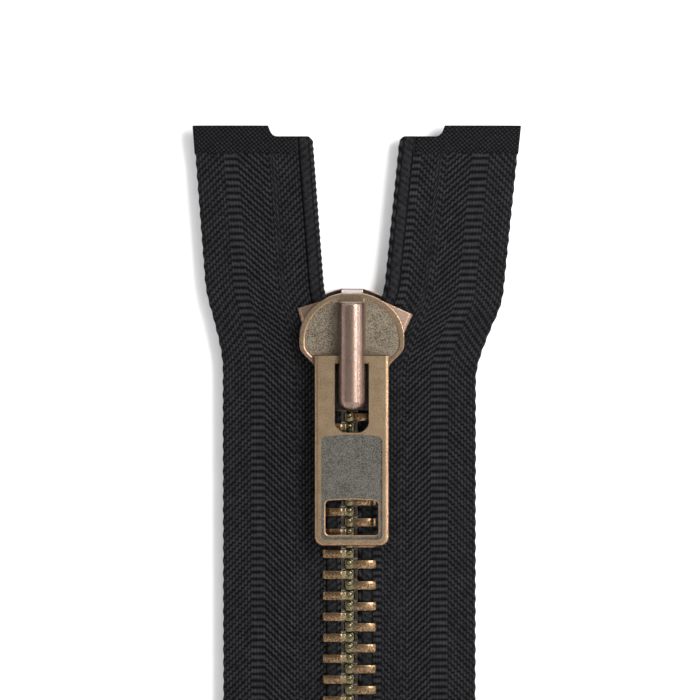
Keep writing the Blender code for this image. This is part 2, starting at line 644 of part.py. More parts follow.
def build_pull_tab(carrier, finish):
    front = PULL_PIVOT_Y - PULL_THICKNESS / 2
    back = PULL_PIVOT_Y + PULL_THICKNESS / 2
    bottom = PULL_TOP - PULL_LENGTH
    middle = (PULL_TOP + bottom) / 2
    corners = [PULL_CORNER, PULL_CORNER, PULL_TOP_CORNER, PULL_TOP_CORNER]
    outline = rounded_rectangle(SLIDER_SHIFT, middle, PULL_WIDTH, PULL_LENGTH, corners)
    pull = add_piece("pull_tab", prism_y(outline, front, back), finish, carrier)
    slot_top = PULL_TOP - PULL_BAR
    slot_low = slot_top - PULL_SLOT_LENGTH
    half = PULL_SLOT_WIDTH / 2
    slot = mirrored(
        [(half - PULL_SLOT_CHAMFER, slot_low), (half, slot_low + PULL_SLOT_CHAMFER), (half, slot_top)]
    )
    panel_middle = bottom + PULL_PANEL_RIM + PULL_PANEL_LENGTH / 2
    panel_width = PULL_WIDTH - 2 * PULL_PANEL_RIM
    panel = rounded_rectangle(SLIDER_SHIFT, panel_middle, panel_width, PULL_PANEL_LENGTH,
                              [PULL_PANEL_CORNER] * 4)
    window_middle = bottom + PULL_WINDOW_ABOVE + PULL_WINDOW_HEIGHT / 2
    window = rounded_rectangle(SLIDER_SHIFT, window_middle, PULL_WINDOW_WIDTH, PULL_WINDOW_HEIGHT,
                               [PULL_WINDOW_CORNER] * 4)
    past = 1 * MM
    cuts = [
        ("pull_slot_cutter", prism_y(slot, front - past, back + past)),
        ("front_panel_cutter", prism_y(panel, front - past, front + PULL_PANEL_DEPTH)),
        ("back_panel_cutter", prism_y(panel, back - PULL_PANEL_DEPTH, back + past)),
        ("pull_window_cutter", prism_y(window, front - past, back + past)),
    ]
    for name, shape in cuts:
        combine(pull, add_piece(name, shape, finish), "DIFFERENCE")
    smooth(pull)
    return pull


def build_box(finish):
    outline = rounded_rectangle(0, 0, BOX_WIDTH, BOX_DEPTH, [BOX_CORNER] * 4, 4)
    shell = loft([[(x, y, z) for x, y in outline] for z in (0, BOX_HEIGHT)])
    box = add_piece("retainer_box", shell, finish)
    above = BOX_HEIGHT + 1 * MM
    cavity = (END_PIN_REACH + PIN_CLEARANCE, END_PIN_DEPTH / 2 + PIN_CLEARANCE)
    side_slit = (BOX_WIDTH / 2 + 1 * MM, TAPE_SIDE + PIN_CLEARANCE)
    for name, (wide, deep) in (("box_cavity_cutter", cavity), ("box_slit_cutter", side_slit)):
        opening = [(-wide, BOX_FLOOR), (wide, BOX_FLOOR), (wide, above), (-wide, above)]
        combine(box, add_piece(name, prism_y(opening, -deep, deep), finish), "DIFFERENCE")
    smooth(box)
    return box


def build_end_pin(name, side, finish):
    """A folded pin clamped over the bead: a web at the middle and a leg on each face."""
    deep = END_PIN_DEPTH / 2
    corner = END_PIN_CORNER
    front = [
        (END_PIN_REACH, -BEAD_SIDE),
        (BEAD_START - GAP, -BEAD_SIDE),
    ]
    shell = [
        (END_PIN_SPACING, -deep + corner),
        (END_PIN_SPACING + corner, -deep),
        (END_PIN_REACH, -deep),
    ]
    section = front + [(x, -y) for x, y in reversed(front)] + [(x, -y) for x, y in reversed(shell)] + shell
    rings = [[(side * x, y, z) for x, y in section] for z in (BOX_FLOOR + GAP, END_PIN_TOP)]
    pin = add_piece(name, loft(rings), finish)
    softened = pin.modifiers.new("softened", "BEVEL")
    softened.width = END_PIN_BEVEL
    softened.segments = 1
    softened.limit_method = "ANGLE"
    return pin


def build_tapes(carriers, finish):
    section = tape_section()
    for side, word in ((LEFT, "left"), (RIGHT, "right")):
        low = strip(side, section, tape_bottom, lambda u: TAPE_SPLIT - GAP / 2, 2)
        add_piece(f"{word}_tape_end", low, finish)
        high = strip(side, section, lambda u: TAPE_SPLIT + GAP / 2, tape_top, TAPE_STATIONS)
        add_piece(f"{word}_tape", high, finish, carriers[side])


def build_films(carriers, finish):
    bottom_inner = BOX_WIDTH / 2 + FILM_TO_BOX - BEAD_START
    top_inner = BEAD_WIDTH + FILM_TO_BEAD
    for side, word in ((LEFT, "left"), (RIGHT, "right")):
        low = strip(side, film_section(bottom_inner), lambda u: 2 * GAP, lambda u: BOTTOM_FILM_HEIGHT, 1)
        add_piece(f"{word}_bottom_film", low, finish)
        start = TAPE_LENGTH - TOP_FILM_HEIGHT
        high = strip(side, film_section(top_inner), lambda u: start, lambda u: tape_top(u) - GAP, 3)
        add_piece(f"{word}_top_film", high, finish, carriers[side])


def build_teeth(carriers, finish):
    for side, word in ((LEFT, "left"), (RIGHT, "right")):
        pattern = tooth_shape(side)
        for number in range(TEETH[side]):
            z = FIRST_TOOTH + PITCH * (number + (0.5 if side == RIGHT else 0))
            shape = pattern.copy()
            grip = BEAD_START + BEAD_WIDTH / 2
            onto_bead = Matrix.Translation((side * (grip + spread(side, z)), 0, z))
            from_bead = Matrix.Translation((-side * grip, 0, 0))
            matrix = onto_bead @ lean_turn(side, z) @ from_bead
            bmesh.ops.transform(shape, matrix=matrix, verts=shape.verts)
            carrier = carriers[side] if z > TAPE_SPLIT else None
            add_piece(f"{word}_tooth_{number + 1:02d}", shape, finish, carrier)
        pattern.free()


def main():
    clear_scene()
    cloth = material("black_tape", (0.012, 0.012, 0.014), 0.85, 0.0)
    film = material("fused_film", (0.016, 0.016, 0.018), 0.5, 0.0)
    tooth_brass = material("antique_brass", (0.30, 0.20, 0.09), 0.4, 1.0)
    slider_brass = material("aged_brass", (0.33, 0.27, 0.19), 0.45, 1.0)
    copper = material("aged_copper", (0.40, 0.23, 0.17), 0.35, 1.0)
    steel = material("spring_steel", (0.45, 0.45, 0.46), 0.35, 1.0)

    carriers = {
        LEFT: axis_empty("left_splay_axis", (-BEAD_START, 0, TAPE_SPLIT)),
        RIGHT: axis_empty("right_splay_axis", (BEAD_START, 0, TAPE_SPLIT)),
    }
    slider = axis_empty("slider_axis", (SLIDER_SHIFT, 0, SLIDER_REAR))
    pull = axis_empty("pull_axis", (SLIDER_SHIFT, PULL_PIVOT_Y, PULL_PIVOT_Z), slider)

    build_tapes(carriers, cloth)
    build_films(carriers, film)
    build_teeth(carriers, tooth_brass)
    for side, word in ((LEFT, "left"), (RIGHT, "right")):
        add_piece(f"{word}_top_stop", place_stop(side), copper, carriers[side])
    build_slider_body(slider, slider_brass)
    build_cover(slider, copper)
    build_locking_pin(slider, steel)
    build_leaf_spring(slider, steel)
    build_pull_tab(pull, slider_brass)
    build_box(slider_brass)
    build_end_pin("box_pin", LEFT, slider_brass)
    build_end_pin("insertion_pin", RIGHT, slider_brass)


main()
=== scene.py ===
# %% [markdown]
# # A separating metal zipper
#
# This lesson dresses a mechanical model of a zipper. The frame that is loaded first holds the real sizes
# and every moving body: two stringers that part, a slider that rides up and down, a pull that swings and
# a small locking pin. Everything here is built around that frame in metres and then rides on its bodies.

# %% Load the mechanical frame
import json
import math

import bmesh
import bpy
import numpy as np
from mathutils import Matrix, Vector


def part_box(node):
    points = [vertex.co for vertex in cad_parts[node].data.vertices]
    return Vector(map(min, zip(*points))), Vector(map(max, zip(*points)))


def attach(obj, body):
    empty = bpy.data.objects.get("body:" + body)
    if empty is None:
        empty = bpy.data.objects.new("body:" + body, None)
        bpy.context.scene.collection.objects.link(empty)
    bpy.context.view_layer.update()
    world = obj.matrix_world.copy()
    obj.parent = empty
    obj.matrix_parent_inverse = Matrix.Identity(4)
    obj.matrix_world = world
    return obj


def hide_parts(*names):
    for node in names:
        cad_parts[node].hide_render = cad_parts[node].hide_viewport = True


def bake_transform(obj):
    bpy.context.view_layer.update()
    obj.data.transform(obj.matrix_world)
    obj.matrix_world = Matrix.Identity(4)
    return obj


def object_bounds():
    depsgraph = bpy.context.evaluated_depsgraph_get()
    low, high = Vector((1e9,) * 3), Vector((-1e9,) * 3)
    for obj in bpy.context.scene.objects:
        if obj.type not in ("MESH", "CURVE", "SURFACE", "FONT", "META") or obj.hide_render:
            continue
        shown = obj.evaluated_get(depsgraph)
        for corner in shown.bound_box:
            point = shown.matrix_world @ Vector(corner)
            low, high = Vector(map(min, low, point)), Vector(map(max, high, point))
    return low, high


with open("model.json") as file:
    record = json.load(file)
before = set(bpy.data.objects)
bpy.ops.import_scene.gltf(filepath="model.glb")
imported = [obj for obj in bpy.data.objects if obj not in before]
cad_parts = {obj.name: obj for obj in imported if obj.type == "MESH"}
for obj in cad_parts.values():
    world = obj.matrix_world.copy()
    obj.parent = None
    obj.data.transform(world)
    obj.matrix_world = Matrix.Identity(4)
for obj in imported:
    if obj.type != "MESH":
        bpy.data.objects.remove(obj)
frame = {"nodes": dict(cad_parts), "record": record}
cad_low, cad_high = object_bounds()
MM = 0.001
LEFT, RIGHT = -1, 1
BODY_OF = {node: body for body, nodes in frame["record"]["behaviour"]["bodies"].items() for node in nodes}
print("size in mm:", [round(side / MM, 1) for side in cad_high - cad_low])

# %% [markdown]
# ## The camera
#
# A product like this is best seen flat on through a long lens, so its two tapes stay parallel to the
# sides of the view. A perspective camera nearly a metre away does that, and it still keeps the very slight
# look down that shows the top ends of the slider's cover and of the stops. The other way would be an
# orthographic camera, which has no depth at all and makes metal look like a diagram.

# %% Set the camera
VIEW_WIDTH = 117.3 * MM
VIEW_MIDDLE = Vector((0.1 * MM, 0, 76.3 * MM))
VIEW_DISTANCE = 0.9
VIEW_ELEVATION = math.radians(4)

camera_data = bpy.data.cameras.new("product_camera")
camera_data.sensor_width = 36
camera_data.lens = camera_data.sensor_width * VIEW_DISTANCE / VIEW_WIDTH
camera = bpy.data.objects.new("product_camera", camera_data)
bpy.context.collection.objects.link(camera)
towards_camera = Vector((0, -math.cos(VIEW_ELEVATION), math.sin(VIEW_ELEVATION)))
camera.location = VIEW_MIDDLE + towards_camera * VIEW_DISTANCE
camera.rotation_euler = (-towards_camera).to_track_quat("-Z", "Y").to_euler()
bpy.context.scene.camera = camera
print("lens in mm:", round(camera_data.lens))

# %% [markdown]
# ## Colours and nodes
#
# Screen colours are written as hex values, which are sRGB, while shaders mix light, which is linear. One
# function turns the first into the second. Material trees are then grown with one more function, which
# adds a node, gives it its settings and joins its sockets.

# %% Turn hex colours linear, and grow node trees
def linear(hex_colour):
    """An sRGB hex colour as linear red, green, blue and a full alpha."""
    channels = [int(hex_colour[i : i + 2], 16) / 255 for i in (1, 3, 5)]
    light = [c / 12.92 if c <= 0.04045 else ((c + 0.055) / 1.055) ** 2.4 for c in channels]
    return (*light, 1.0)


def add(tree, kind, inputs=None, **settings):
    """Add a node. Inputs are named sockets, or numbered ones, and take values or what feeds them."""
    made = tree.nodes.new(kind)
    for name, value in settings.items():
        setattr(made, name, value)
    for name, value in (inputs or {}).items():
        if isinstance(name, int):
            socket = made.inputs[name]
        else:
            socket = next(s for s in made.inputs if s.enabled and s.name == name)
        if isinstance(value, bpy.types.Node):
            value = next(s for s in value.outputs if s.enabled)
        if isinstance(value, bpy.types.NodeSocket):
            tree.links.new(value, socket)
        else:
            socket.default_value = value
    return made


def new_material(name):
    """A material with nothing in it but its output, and its tree."""
    made = bpy.data.materials.new(name)
    made.use_nodes = True
    made.node_tree.nodes.clear()
    return made, made.node_tree


print("mid grey, linear:", [round(c, 3) for c in linear("#808080")])

# %% [markdown]
# ## The stage
#
# Small metal goods are lit with broad white panels: one large panel on the right makes the metal's bright
# side and throws a soft shadow to the left, a narrow strip further round draws the sharp line along the
# round cover, and a weak fill keeps the other side open. The white card stands just behind the zipper. It
# is a single face that is only there from its front, and light passes through it, so that the back of the
# zipper can be looked at too.

# %% Build the card, the floor and the lights
CARD_BEHIND = 3.4 * MM
REACH = 1.2  # how far the card and the floor run to each side, and the card upward
FLOOR_BELOW = 8 * MM


def stage_plane(name, corners, finish):
    """One four-sided face that stands on the stage and isn't part of the product."""
    mesh = bpy.data.meshes.new(name)
    mesh.from_pydata(corners, [], [(0, 1, 2, 3)])
    plane = bpy.data.objects.new(name, mesh)
    bpy.context.collection.objects.link(plane)
    mesh.materials.append(finish)
    return plane


def panel_light(name, azimuth, elevation, distance, width, height, power, colour="#ffffff"):
    """A softbox that faces the zipper's middle; azimuth is measured from the front towards the right."""
    data = bpy.data.lights.new(name, "AREA")
    data.shape = "RECTANGLE"
    data.size, data.size_y = width, height
    data.energy = power
    data.color = linear(colour)[:3]
    light = bpy.data.objects.new(name, data)
    bpy.context.collection.objects.link(light)
    turn, rise = math.radians(azimuth), math.radians(elevation)
    way = Vector((math.sin(turn) * math.cos(rise), -math.cos(turn) * math.cos(rise), math.sin(rise)))
    light.location = VIEW_MIDDLE + way * distance
    light.rotation_euler = way.to_track_quat("Z", "Y").to_euler()
    return light


white_card, tree = new_material("matt_white_card")
paper = add(tree, "ShaderNodeBsdfDiffuse", {"Color": linear("#f6f6f6")})
clear = add(tree, "ShaderNodeBsdfTransparent")
side_seen = add(tree, "ShaderNodeNewGeometry").outputs["Backfacing"]
shading = add(tree, "ShaderNodeLightPath").outputs["Is Shadow Ray"]
passing = add(tree, "ShaderNodeMath", {0: side_seen, 1: shading}, operation="MAXIMUM")
one_sided = add(tree, "ShaderNodeMixShader", {0: passing, 1: paper, 2: clear})
add(tree, "ShaderNodeOutputMaterial", {"Surface": one_sided})
floor_low = cad_low.z - FLOOR_BELOW
card_corners = [(-REACH, CARD_BEHIND, floor_low), (REACH, CARD_BEHIND, floor_low)]
card_corners += [(REACH, CARD_BEHIND, REACH), (-REACH, CARD_BEHIND, REACH)]
stage_plane("white_card", card_corners, white_card)

pale_floor, tree = new_material("pale_floor_paint")
mottle = add(tree, "ShaderNodeTexNoise", {"Scale": 4.0})
paint = add(tree, "ShaderNodeMix", {"Factor": mottle, "A": linear("#e9e9e9"), "B": linear("#f1f1f1")},
            data_type="RGBA")
matt = add(tree, "ShaderNodeBsdfDiffuse", {"Color": paint})
add(tree, "ShaderNodeOutputMaterial", {"Surface": matt})
floor_corners = [(-REACH, -REACH, floor_low), (REACH, -REACH, floor_low)]
floor_corners += [(REACH, REACH, floor_low), (-REACH, REACH, floor_low)]
stage_plane("pale_floor", floor_corners, pale_floor)

panel_light("key_panel", 31, 14, 0.55, 0.20, 0.30, 3.3)
panel_light("strip_panel", 67, 4, 0.50, 0.06, 0.34, 0.72)
panel_light("fill_panel", -48, 22, 0.60, 0.30, 0.30, 0.35)
panel_light("front_panel", -4, 34, 0.60, 0.34, 0.20, 0.6)
panel_light("left_wall", -84, 6, 0.60, 0.50, 0.50, 0.62, "#f4f0f4")
panel_light("right_wall", 86, 6, 0.60, 0.50, 0.50, 0.62)
panel_light("back_panel", 170, 25, 0.60, 0.30, 0.30, 2.4)

world = bpy.data.worlds.new("studio_air")
bpy.context.scene.world = world
world.use_nodes = True
world.node_tree.nodes.clear()
air = add(world.node_tree, "ShaderNodeBackground", {"Color": linear("#e2e2e2"), "Strength": 0.36})
add(world.node_tree, "ShaderNodeOutputWorld", {"Surface": air})
bpy.context.scene.view_settings.view_transform = "Standard"

# %% [markdown]
# ## Woven polyester tape
#
# The tapes are spun polyester in a black dye, woven in a narrow twill. Light is lost between the yarns and
# comes back as a weak sheen from their crowns, and the colour paints both: a near-black in the valleys is
# painted shade, and the crowns' lighter black is the dye with a painted sheen in it. A little fuzz comes
# from fibres a few hundredths of a millimetre thick. The crowns and valleys are real relief on the mesh too,
# which stores how high each point stands in "raised", and that picks between the two blacks.

# %% Dye the tape, with painted shade in its valleys and a painted sheen on its crowns
FIBRE = 0.09 * MM  # real fibres are a fifth of this, which would be too fine to show

woven_polyester, tree = new_material("black_woven_polyester")
place = add(tree, "ShaderNodeTexCoord").outputs["Object"]
along_yarn = add(tree, "ShaderNodeMapping", {"Vector": place, "Scale": (1, 1, 0.3)})
fibres = add(tree, "ShaderNodeTexNoise", {"Vector": along_yarn, "Scale": 1 / FIBRE, "Detail": 3.0})
dye_lots = add(tree, "ShaderNodeTexNoise", {"Vector": place, "Scale": 1 / (2.5 * MM), "Detail": 2.0})
raised = add(tree, "ShaderNodeAttribute", attribute_name="raised").outputs["Fac"]
fuzzy = add(tree, "ShaderNodeMath", {0: fibres, 1: 0.45, 2: raised}, operation="MULTIPLY_ADD")
crown = add(tree, "ShaderNodeMapRange", {"Value": fuzzy, "From Min": 0.52, "From Max": 1.12})
# The dye's black with its random dye lots, kept light so that it also stands in for the crowns' sheen, a
# painted highlight.
dye_and_painted_sheen = add(tree, "ShaderNodeMix",
                 {"Factor": dye_lots, "A": linear("#232325"), "B": linear("#313134")}, data_type="RGBA")
# Near-black painted shade in the valleys, mixed with the lighter black of the crowns.
dye_with_painted_shade = add(tree, "ShaderNodeMix", {"Factor": crown, "A": linear("#020202"), "B": dye_and_painted_sheen},
           data_type="RGBA")
fuzz = add(tree, "ShaderNodeBump", {"Height": fibres, "Strength": 0.5, "Distance": 0.05 * MM})
cloth = add(tree, "ShaderNodeBsdfPrincipled",
            {"Base Color": dye_with_painted_shade, "Roughness": 0.65, "IOR": 1.53, "Specular IOR Level": 0.05,
             "Sheen Weight": 0.01, "Sheen Roughness": 0.4, "Normal": fuzz})
add(tree, "ShaderNodeOutputMaterial", {"Surface": cloth})
print("fibres per mm:", round(MM / FIBRE))

# %% [markdown]
# ## Fused film
#
# Both ends of a separating zipper's tape are stiffened with a thin nylon film, pressed on hot. The press
# leaves fine ribs in two slanted directions, which cross as rows of dots, and the film is smoother than the
# cloth, so it is a shade darker with a softer gloss. The ribs are half a millimetre apart and only
# hundredths deep, which is work for a bump. The colour follows the ribs too: near-black between them is
# painted shade, and the dark grey where they cross is a painted highlight.

# %% Press the film
RIB_PITCH = 0.52 * MM
WAVES_PER_SCALE = 3.18  # bands that a Wave Texture draws over one unit at a scale of one

fused_film, tree = new_material("hot_pressed_nylon_film")
place = add(tree, "ShaderNodeTexCoord").outputs["Object"]


def press_ribs(slant, waviness, waver_scale):
    """Ribs that the press leaves, slanted by so many degrees."""
    turned = add(tree, "ShaderNodeMapping", {"Vector": place, "Rotation": (0, math.radians(slant), 0)})
    return add(tree, "ShaderNodeTexWave",
               {"Vector": turned, "Scale": 1 / (RIB_PITCH * WAVES_PER_SCALE), "Distortion": waviness,
                "Detail": 2.0, "Detail Scale": waver_scale}, bands_direction="X")


pressed = add(tree, "ShaderNodeMath", {0: press_ribs(42, 1.5, 3.0), 1: press_ribs(-52, 2.5, 4.0)},
              operation="MULTIPLY")
# The ribs painted into the colour: near-black painted shade between them, a dark grey painted highlight
# where they cross.
shade = add(tree, "ShaderNodeMix", {"Factor": pressed, "A": linear("#050505"), "B": linear("#28282b")},
            data_type="RGBA")
rib_relief = add(tree, "ShaderNodeBump", {"Height": pressed, "Strength": 0.6, "Distance": 0.05 * MM})
film_shader = add(tree, "ShaderNodeBsdfPrincipled",
                  {"Base Color": shade, "Roughness": 0.55, "IOR": 1.53, "Specular IOR Level": 0.03,
                   "Normal": rib_relief})
add(tree, "ShaderNodeOutputMaterial", {"Surface": film_shader})
print("ribs per cm:", round(10 * MM / RIB_PITCH))

# %% [markdown]
# ## Antique metal
#
# The slider, its cover and the pull are die-cast zinc, plated with brass or copper, darkened in a bath and
# then brushed so that edges come up bright. The teeth are solid brass that went through the same bath. All
# of them are one family: a base metal, a darker patina that lies in patches and in the casting's grit, and
# a roughness that follows the patina. Only the colours, the grit and the polish differ.

# %% Plate, darken and relieve the metals
def antique_metal(name, bright, patina, roughness, grit, grit_depth, hollows=None):
    """Plated or solid metal under a brushed patina; hollows is the colour where "patina" is painted on."""
    made, tree = new_material(name)
    place = add(tree, "ShaderNodeTexCoord").outputs["Object"]
    grains = add(tree, "ShaderNodeTexNoise",
                 {"Vector": place, "Scale": 1 / grit, "Detail": 3.0, "Roughness": 0.6})
    patches = add(tree, "ShaderNodeTexNoise", {"Vector": place, "Scale": 1 / (1.8 * MM), "Detail": 3.0})
    stained = add(tree, "ShaderNodeMath", {0: patches, 1: 0.18, 2: grains}, operation="MULTIPLY_ADD")
    cover_share = add(tree, "ShaderNodeMapRange",
                      {"Value": stained, "From Min": 0.46, "From Max": 0.72, "To Min": 1.0, "To Max": 0.0})
    colour = add(tree, "ShaderNodeMix", {"Factor": cover_share, "A": linear(bright), "B": linear(patina)},
                 data_type="RGBA")
    if hollows:
        painted = add(tree, "ShaderNodeAttribute", attribute_name="patina").outputs["Fac"]
        colour = add(tree, "ShaderNodeMix", {"Factor": painted, "A": colour, "B": linear(hollows)},
                     data_type="RGBA")
    polish = add(tree, "ShaderNodeMapRange",
                 {"Value": cover_share, "To Min": roughness - 0.05, "To Max": roughness + 0.12})
    relief = add(tree, "ShaderNodeBump", {"Height": grains, "Strength": 0.8, "Distance": grit_depth})
    shader = add(tree, "ShaderNodeBsdfPrincipled",
                 {"Base Color": colour, "Metallic": 1.0, "Roughness": polish, "Normal": relief})
    add(tree, "ShaderNodeOutputMaterial", {"Surface": shader})
    return made


# Solid brass wire, stamped, oxidised and tumbled: brown with a pink cast, and olive left in its hollows.
tooth_brass = antique_metal("oxidised_brass_wire", "#8a7056", "#4d3d29", 0.25, 0.30 * MM, 0.008 * MM,
                            hollows="#686049")
# Sand-grained die casting under antique brass plating: the sunk faces beside the cover.
sand_field = antique_metal("sand_cast_antique_brass", "#857b6c", "#3f382e", 0.44, 0.15 * MM, 0.034 * MM)
# The same plating on the pull, brushed a little lighter and warmer.
sand_pull = antique_metal("brushed_sand_cast_brass", "#927e66", "#534634", 0.38, 0.14 * MM, 0.028 * MM)
# The plating worn through to its copper underlayer, as on rims and corners.
worn_rim = antique_metal("brushed_copper_underplate", "#b08f74", "#86684f", 0.28, 0.30 * MM, 0.005 * MM)
# The slider's raised rim, brushed but still olive.
olive_rim = antique_metal("brushed_olive_plating", "#877562", "#635542", 0.34, 0.22 * MM, 0.008 * MM)
# Rolled sheet under antique copper plating, smooth enough to draw a line of light: the cover and stops.
copper_sheet = antique_metal("antique_copper_plated_sheet", "#947f74", "#745f54", 0.29, 0.20 * MM,
                             0.006 * MM)
# Dark nickel-black plating, left unbrushed in the pull's sunk panel.
dark_panel = antique_metal("unbrushed_gunmetal_plating", "#67645e", "#37352f", 0.48, 0.15 * MM, 0.032 * MM)
# Painted shade: a near-black plating colour for the inside of the channel, where no light reaches, and for
# the other places where shade falls on the slider and the pull.
painted_shade_plating = antique_metal("painted_shade_channel_plating", "#3a3634", "#262322", 0.5, 0.3 * MM, 0.01 * MM)
# The wedge between the two rows, rubbed bare by the teeth.
rubbed_zinc = antique_metal("rubbed_zinc", "#b9afb4", "#958b8e", 0.35, 0.3 * MM, 0.006 * MM)
# Hardened and lightly oiled spring strip, hardly coloured.
spring_steel = antique_metal("tempered_spring_strip", "#8f8e8a", "#6c6a66", 0.28, 0.25 * MM, 0.004 * MM)
print("metals:", [m.name for m in bpy.data.materials if "brass" in m.name or "copper" in m.name])

# %% [markdown]
# ## How the tapes part
#
# Below the slider both tapes hang straight. Inside it each one makes an S-bend round the wedge, and above it
# leans out steadily. The bend starts a fixed way above the slider's rear end, so its place comes from the
# frame. The printed line compares the result with the frame's own tape, which it should follow closely.

# %% Follow the tapes' line
bottom_low, bottom_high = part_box("right_tape_end")
slider_low, slider_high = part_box("slider_body")
box_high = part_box("retainer_box")[1]
BEAD_START = bottom_low.x
TAPE_WIDTH = bottom_high.x - bottom_low.x
BEAD_THICKNESS = bottom_high.y - bottom_low.y
TAPE_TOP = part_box("right_tape")[1].z
SPLIT_Z = (bottom_high.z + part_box("right_tape")[0].z) / 2
SPREAD_START = slider_low.z + 6.5 * MM
BEAD_WIDTH = 2.45 * MM
TAPE_THICKNESS = 0.6 * MM
SPREAD = {LEFT: 2.5 * MM, RIGHT: 4.0 * MM}
SPREAD_LENGTH = 15.0 * MM
LEAN = {LEFT: 0.075, RIGHT: 0.10}
LEAN_START_ABOVE = 9.1 * MM
EDGE_LEAD = {LEFT: 0.0, RIGHT: 0.09}
DIE_CUT_WIDTH, DIE_CUT_DEPTH, DIE_CUT_HOLLOW = 6.0 * MM, 1.8 * MM, 1.2 * MM
CORNER_WIDTH, CORNER_DROP = 0.9 * MM, 0.8 * MM
SIDE_NAME = {LEFT: "left", RIGHT: "right"}


def smoothstep(t):
    """0 below 0, 1 above 1, and an even S between them."""
    t = np.clip(t, 0.0, 1.0)
    return t * t * (3 - 2 * t)


def spread(side, z, outward=0.0):
    """How far the tape has moved from its closed place at height z."""
    z = z + EDGE_LEAD[side] * outward
    bend = SPREAD[side] * smoothstep((z - SPREAD_START) / SPREAD_LENGTH)
    return bend + LEAN[side] * np.maximum(0.0, z - SPREAD_START - LEAN_START_ABOVE)


def tape_x(side, z, outward):
    """X of a point of the tape, outward from the bead's inner edge."""
    return side * (BEAD_START + outward + spread(side, z, outward))


def tape_top(outward):
    """Height of the top edge: die-cut lower beside the bead, with a hollow step and a rounded corner."""
    across = np.clip((outward - DIE_CUT_WIDTH) / DIE_CUT_HOLLOW, 0.0, 1.0)
    step = 1 - np.sqrt(1 - across**2)
    corner = np.clip(1 - outward / CORNER_WIDTH, 0.0, 1.0)
    return TAPE_TOP - DIE_CUT_DEPTH * (1 - step) - CORNER_DROP * corner**2


def tape_bottom(outward):
    """The bead's part of the tape ends on the box's floor; the rest is cut level with its underside."""
    inside_box = BEAD_START + outward < box_high.x + 0.1 * MM
    return np.where(inside_box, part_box("box_pin")[0].z, 0.0)


for side in (LEFT, RIGHT):
    made = abs(tape_x(side, TAPE_TOP, TAPE_WIDTH))
    low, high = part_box(SIDE_NAME[side] + "_tape")
    print(SIDE_NAME[side], "top corner off the frame's by mm:", round((made - max(-low.x, high.x)) / MM, 2))

# %% [markdown]
# ## Solids from rings
#
# Most soft pieces here are a cross-section carried along a path. Each ring runs out along the front and back
# along the rear, so points that face each other have matching numbers from either end, and a ring can be
# closed by a row of four-sided faces even when the cut isn't flat.

# %% Build a closed solid from rings of points
def ring_solid(name, rings, finish, raised=None):
    """rings is an array of rows x points x 3; raised gives each point the height of its yarn, 0 to 1."""
    rows, around, _ = rings.shape
    number = np.arange(rows * around).reshape(rows, around)
    after = np.roll(number, -1, axis=1)
    sides = np.stack([number[:-1], after[:-1], after[1:], number[1:]], axis=-1).reshape(-1, 4)
    half = around // 2
    near, far = number[:, : half - 1], number[:, 1:half]
    far_back, near_back = number[:, ::-1][:, 1:half], number[:, ::-1][:, : half - 1]
    ends = np.stack([near, far, far_back, near_back], axis=-1)
    faces = np.concatenate([sides, ends[0][:, ::-1], ends[-1]])
    mesh = bpy.data.meshes.new(name)
    mesh.from_pydata(rings.reshape(-1, 3), [], faces.tolist())
    if raised is not None:
        mesh.attributes.new("raised", "FLOAT", "POINT").data.foreach_set("value", raised.ravel())
    shape = bmesh.new()
    shape.from_mesh(mesh)
    bmesh.ops.recalc_face_normals(shape, faces=shape.faces)
    shape.to_mesh(mesh)
    shape.free()
    mesh.shade_smooth()
    mesh.materials.append(finish)
    piece = bpy.data.objects.new(name, mesh)
    bpy.context.collection.objects.link(piece)
    return piece


print("rings are ready")

# %% [markdown]
# ## The weave
#
# The tape is woven from about thirty-four cords side by side. Where a cord passes over the weft it stands
# proud for most of the repeat. In a twill the next cord does so nearly half a repeat later, which makes
# slanted lines; in the plain runs beside them the cords rise together, like courses of bricks. The runs are
# different on the two sides of the zipper, because the two tapes come from one loom and face each other.
# A point stands on every cord's crown and in every gap between two cords, in five rows to the repeat.

# %% Draw the weave's relief
REPEAT = 1.14 * MM
ROWS_PER_REPEAT = 5
CORD_RELIEF = 0.12 * MM
TWILL = 0.43  # how much later a cord rises than its neighbour, in repeats
LOWEST_FLOAT = 0.76  # some floats lie lower than the others
CROWN_POWER, GAP_POWER = 0.40, 0.8  # the smaller, the longer a cord or the gap beside it stays up
# From the bead outward: how many cords, and how much later each rises than the one before.
CORD_RUNS = {
    LEFT: [(11, -TWILL), (10, TWILL), (4, 0.0), (9, -TWILL)],
    RIGHT: [(3, 0.0), (9, -TWILL), (8, TWILL), (5, 0.0), (9, -TWILL)],
}
CORDS = sum(count for count, _ in CORD_RUNS[LEFT])
CORD_PITCH = (TAPE_WIDTH - BEAD_WIDTH) / CORDS


def cord_phases(side):
    """How much later each cord of a side rises, in repeats."""
    steps = [step for count, step in CORD_RUNS[side] for _ in range(count)]
    return np.cumsum(steps)


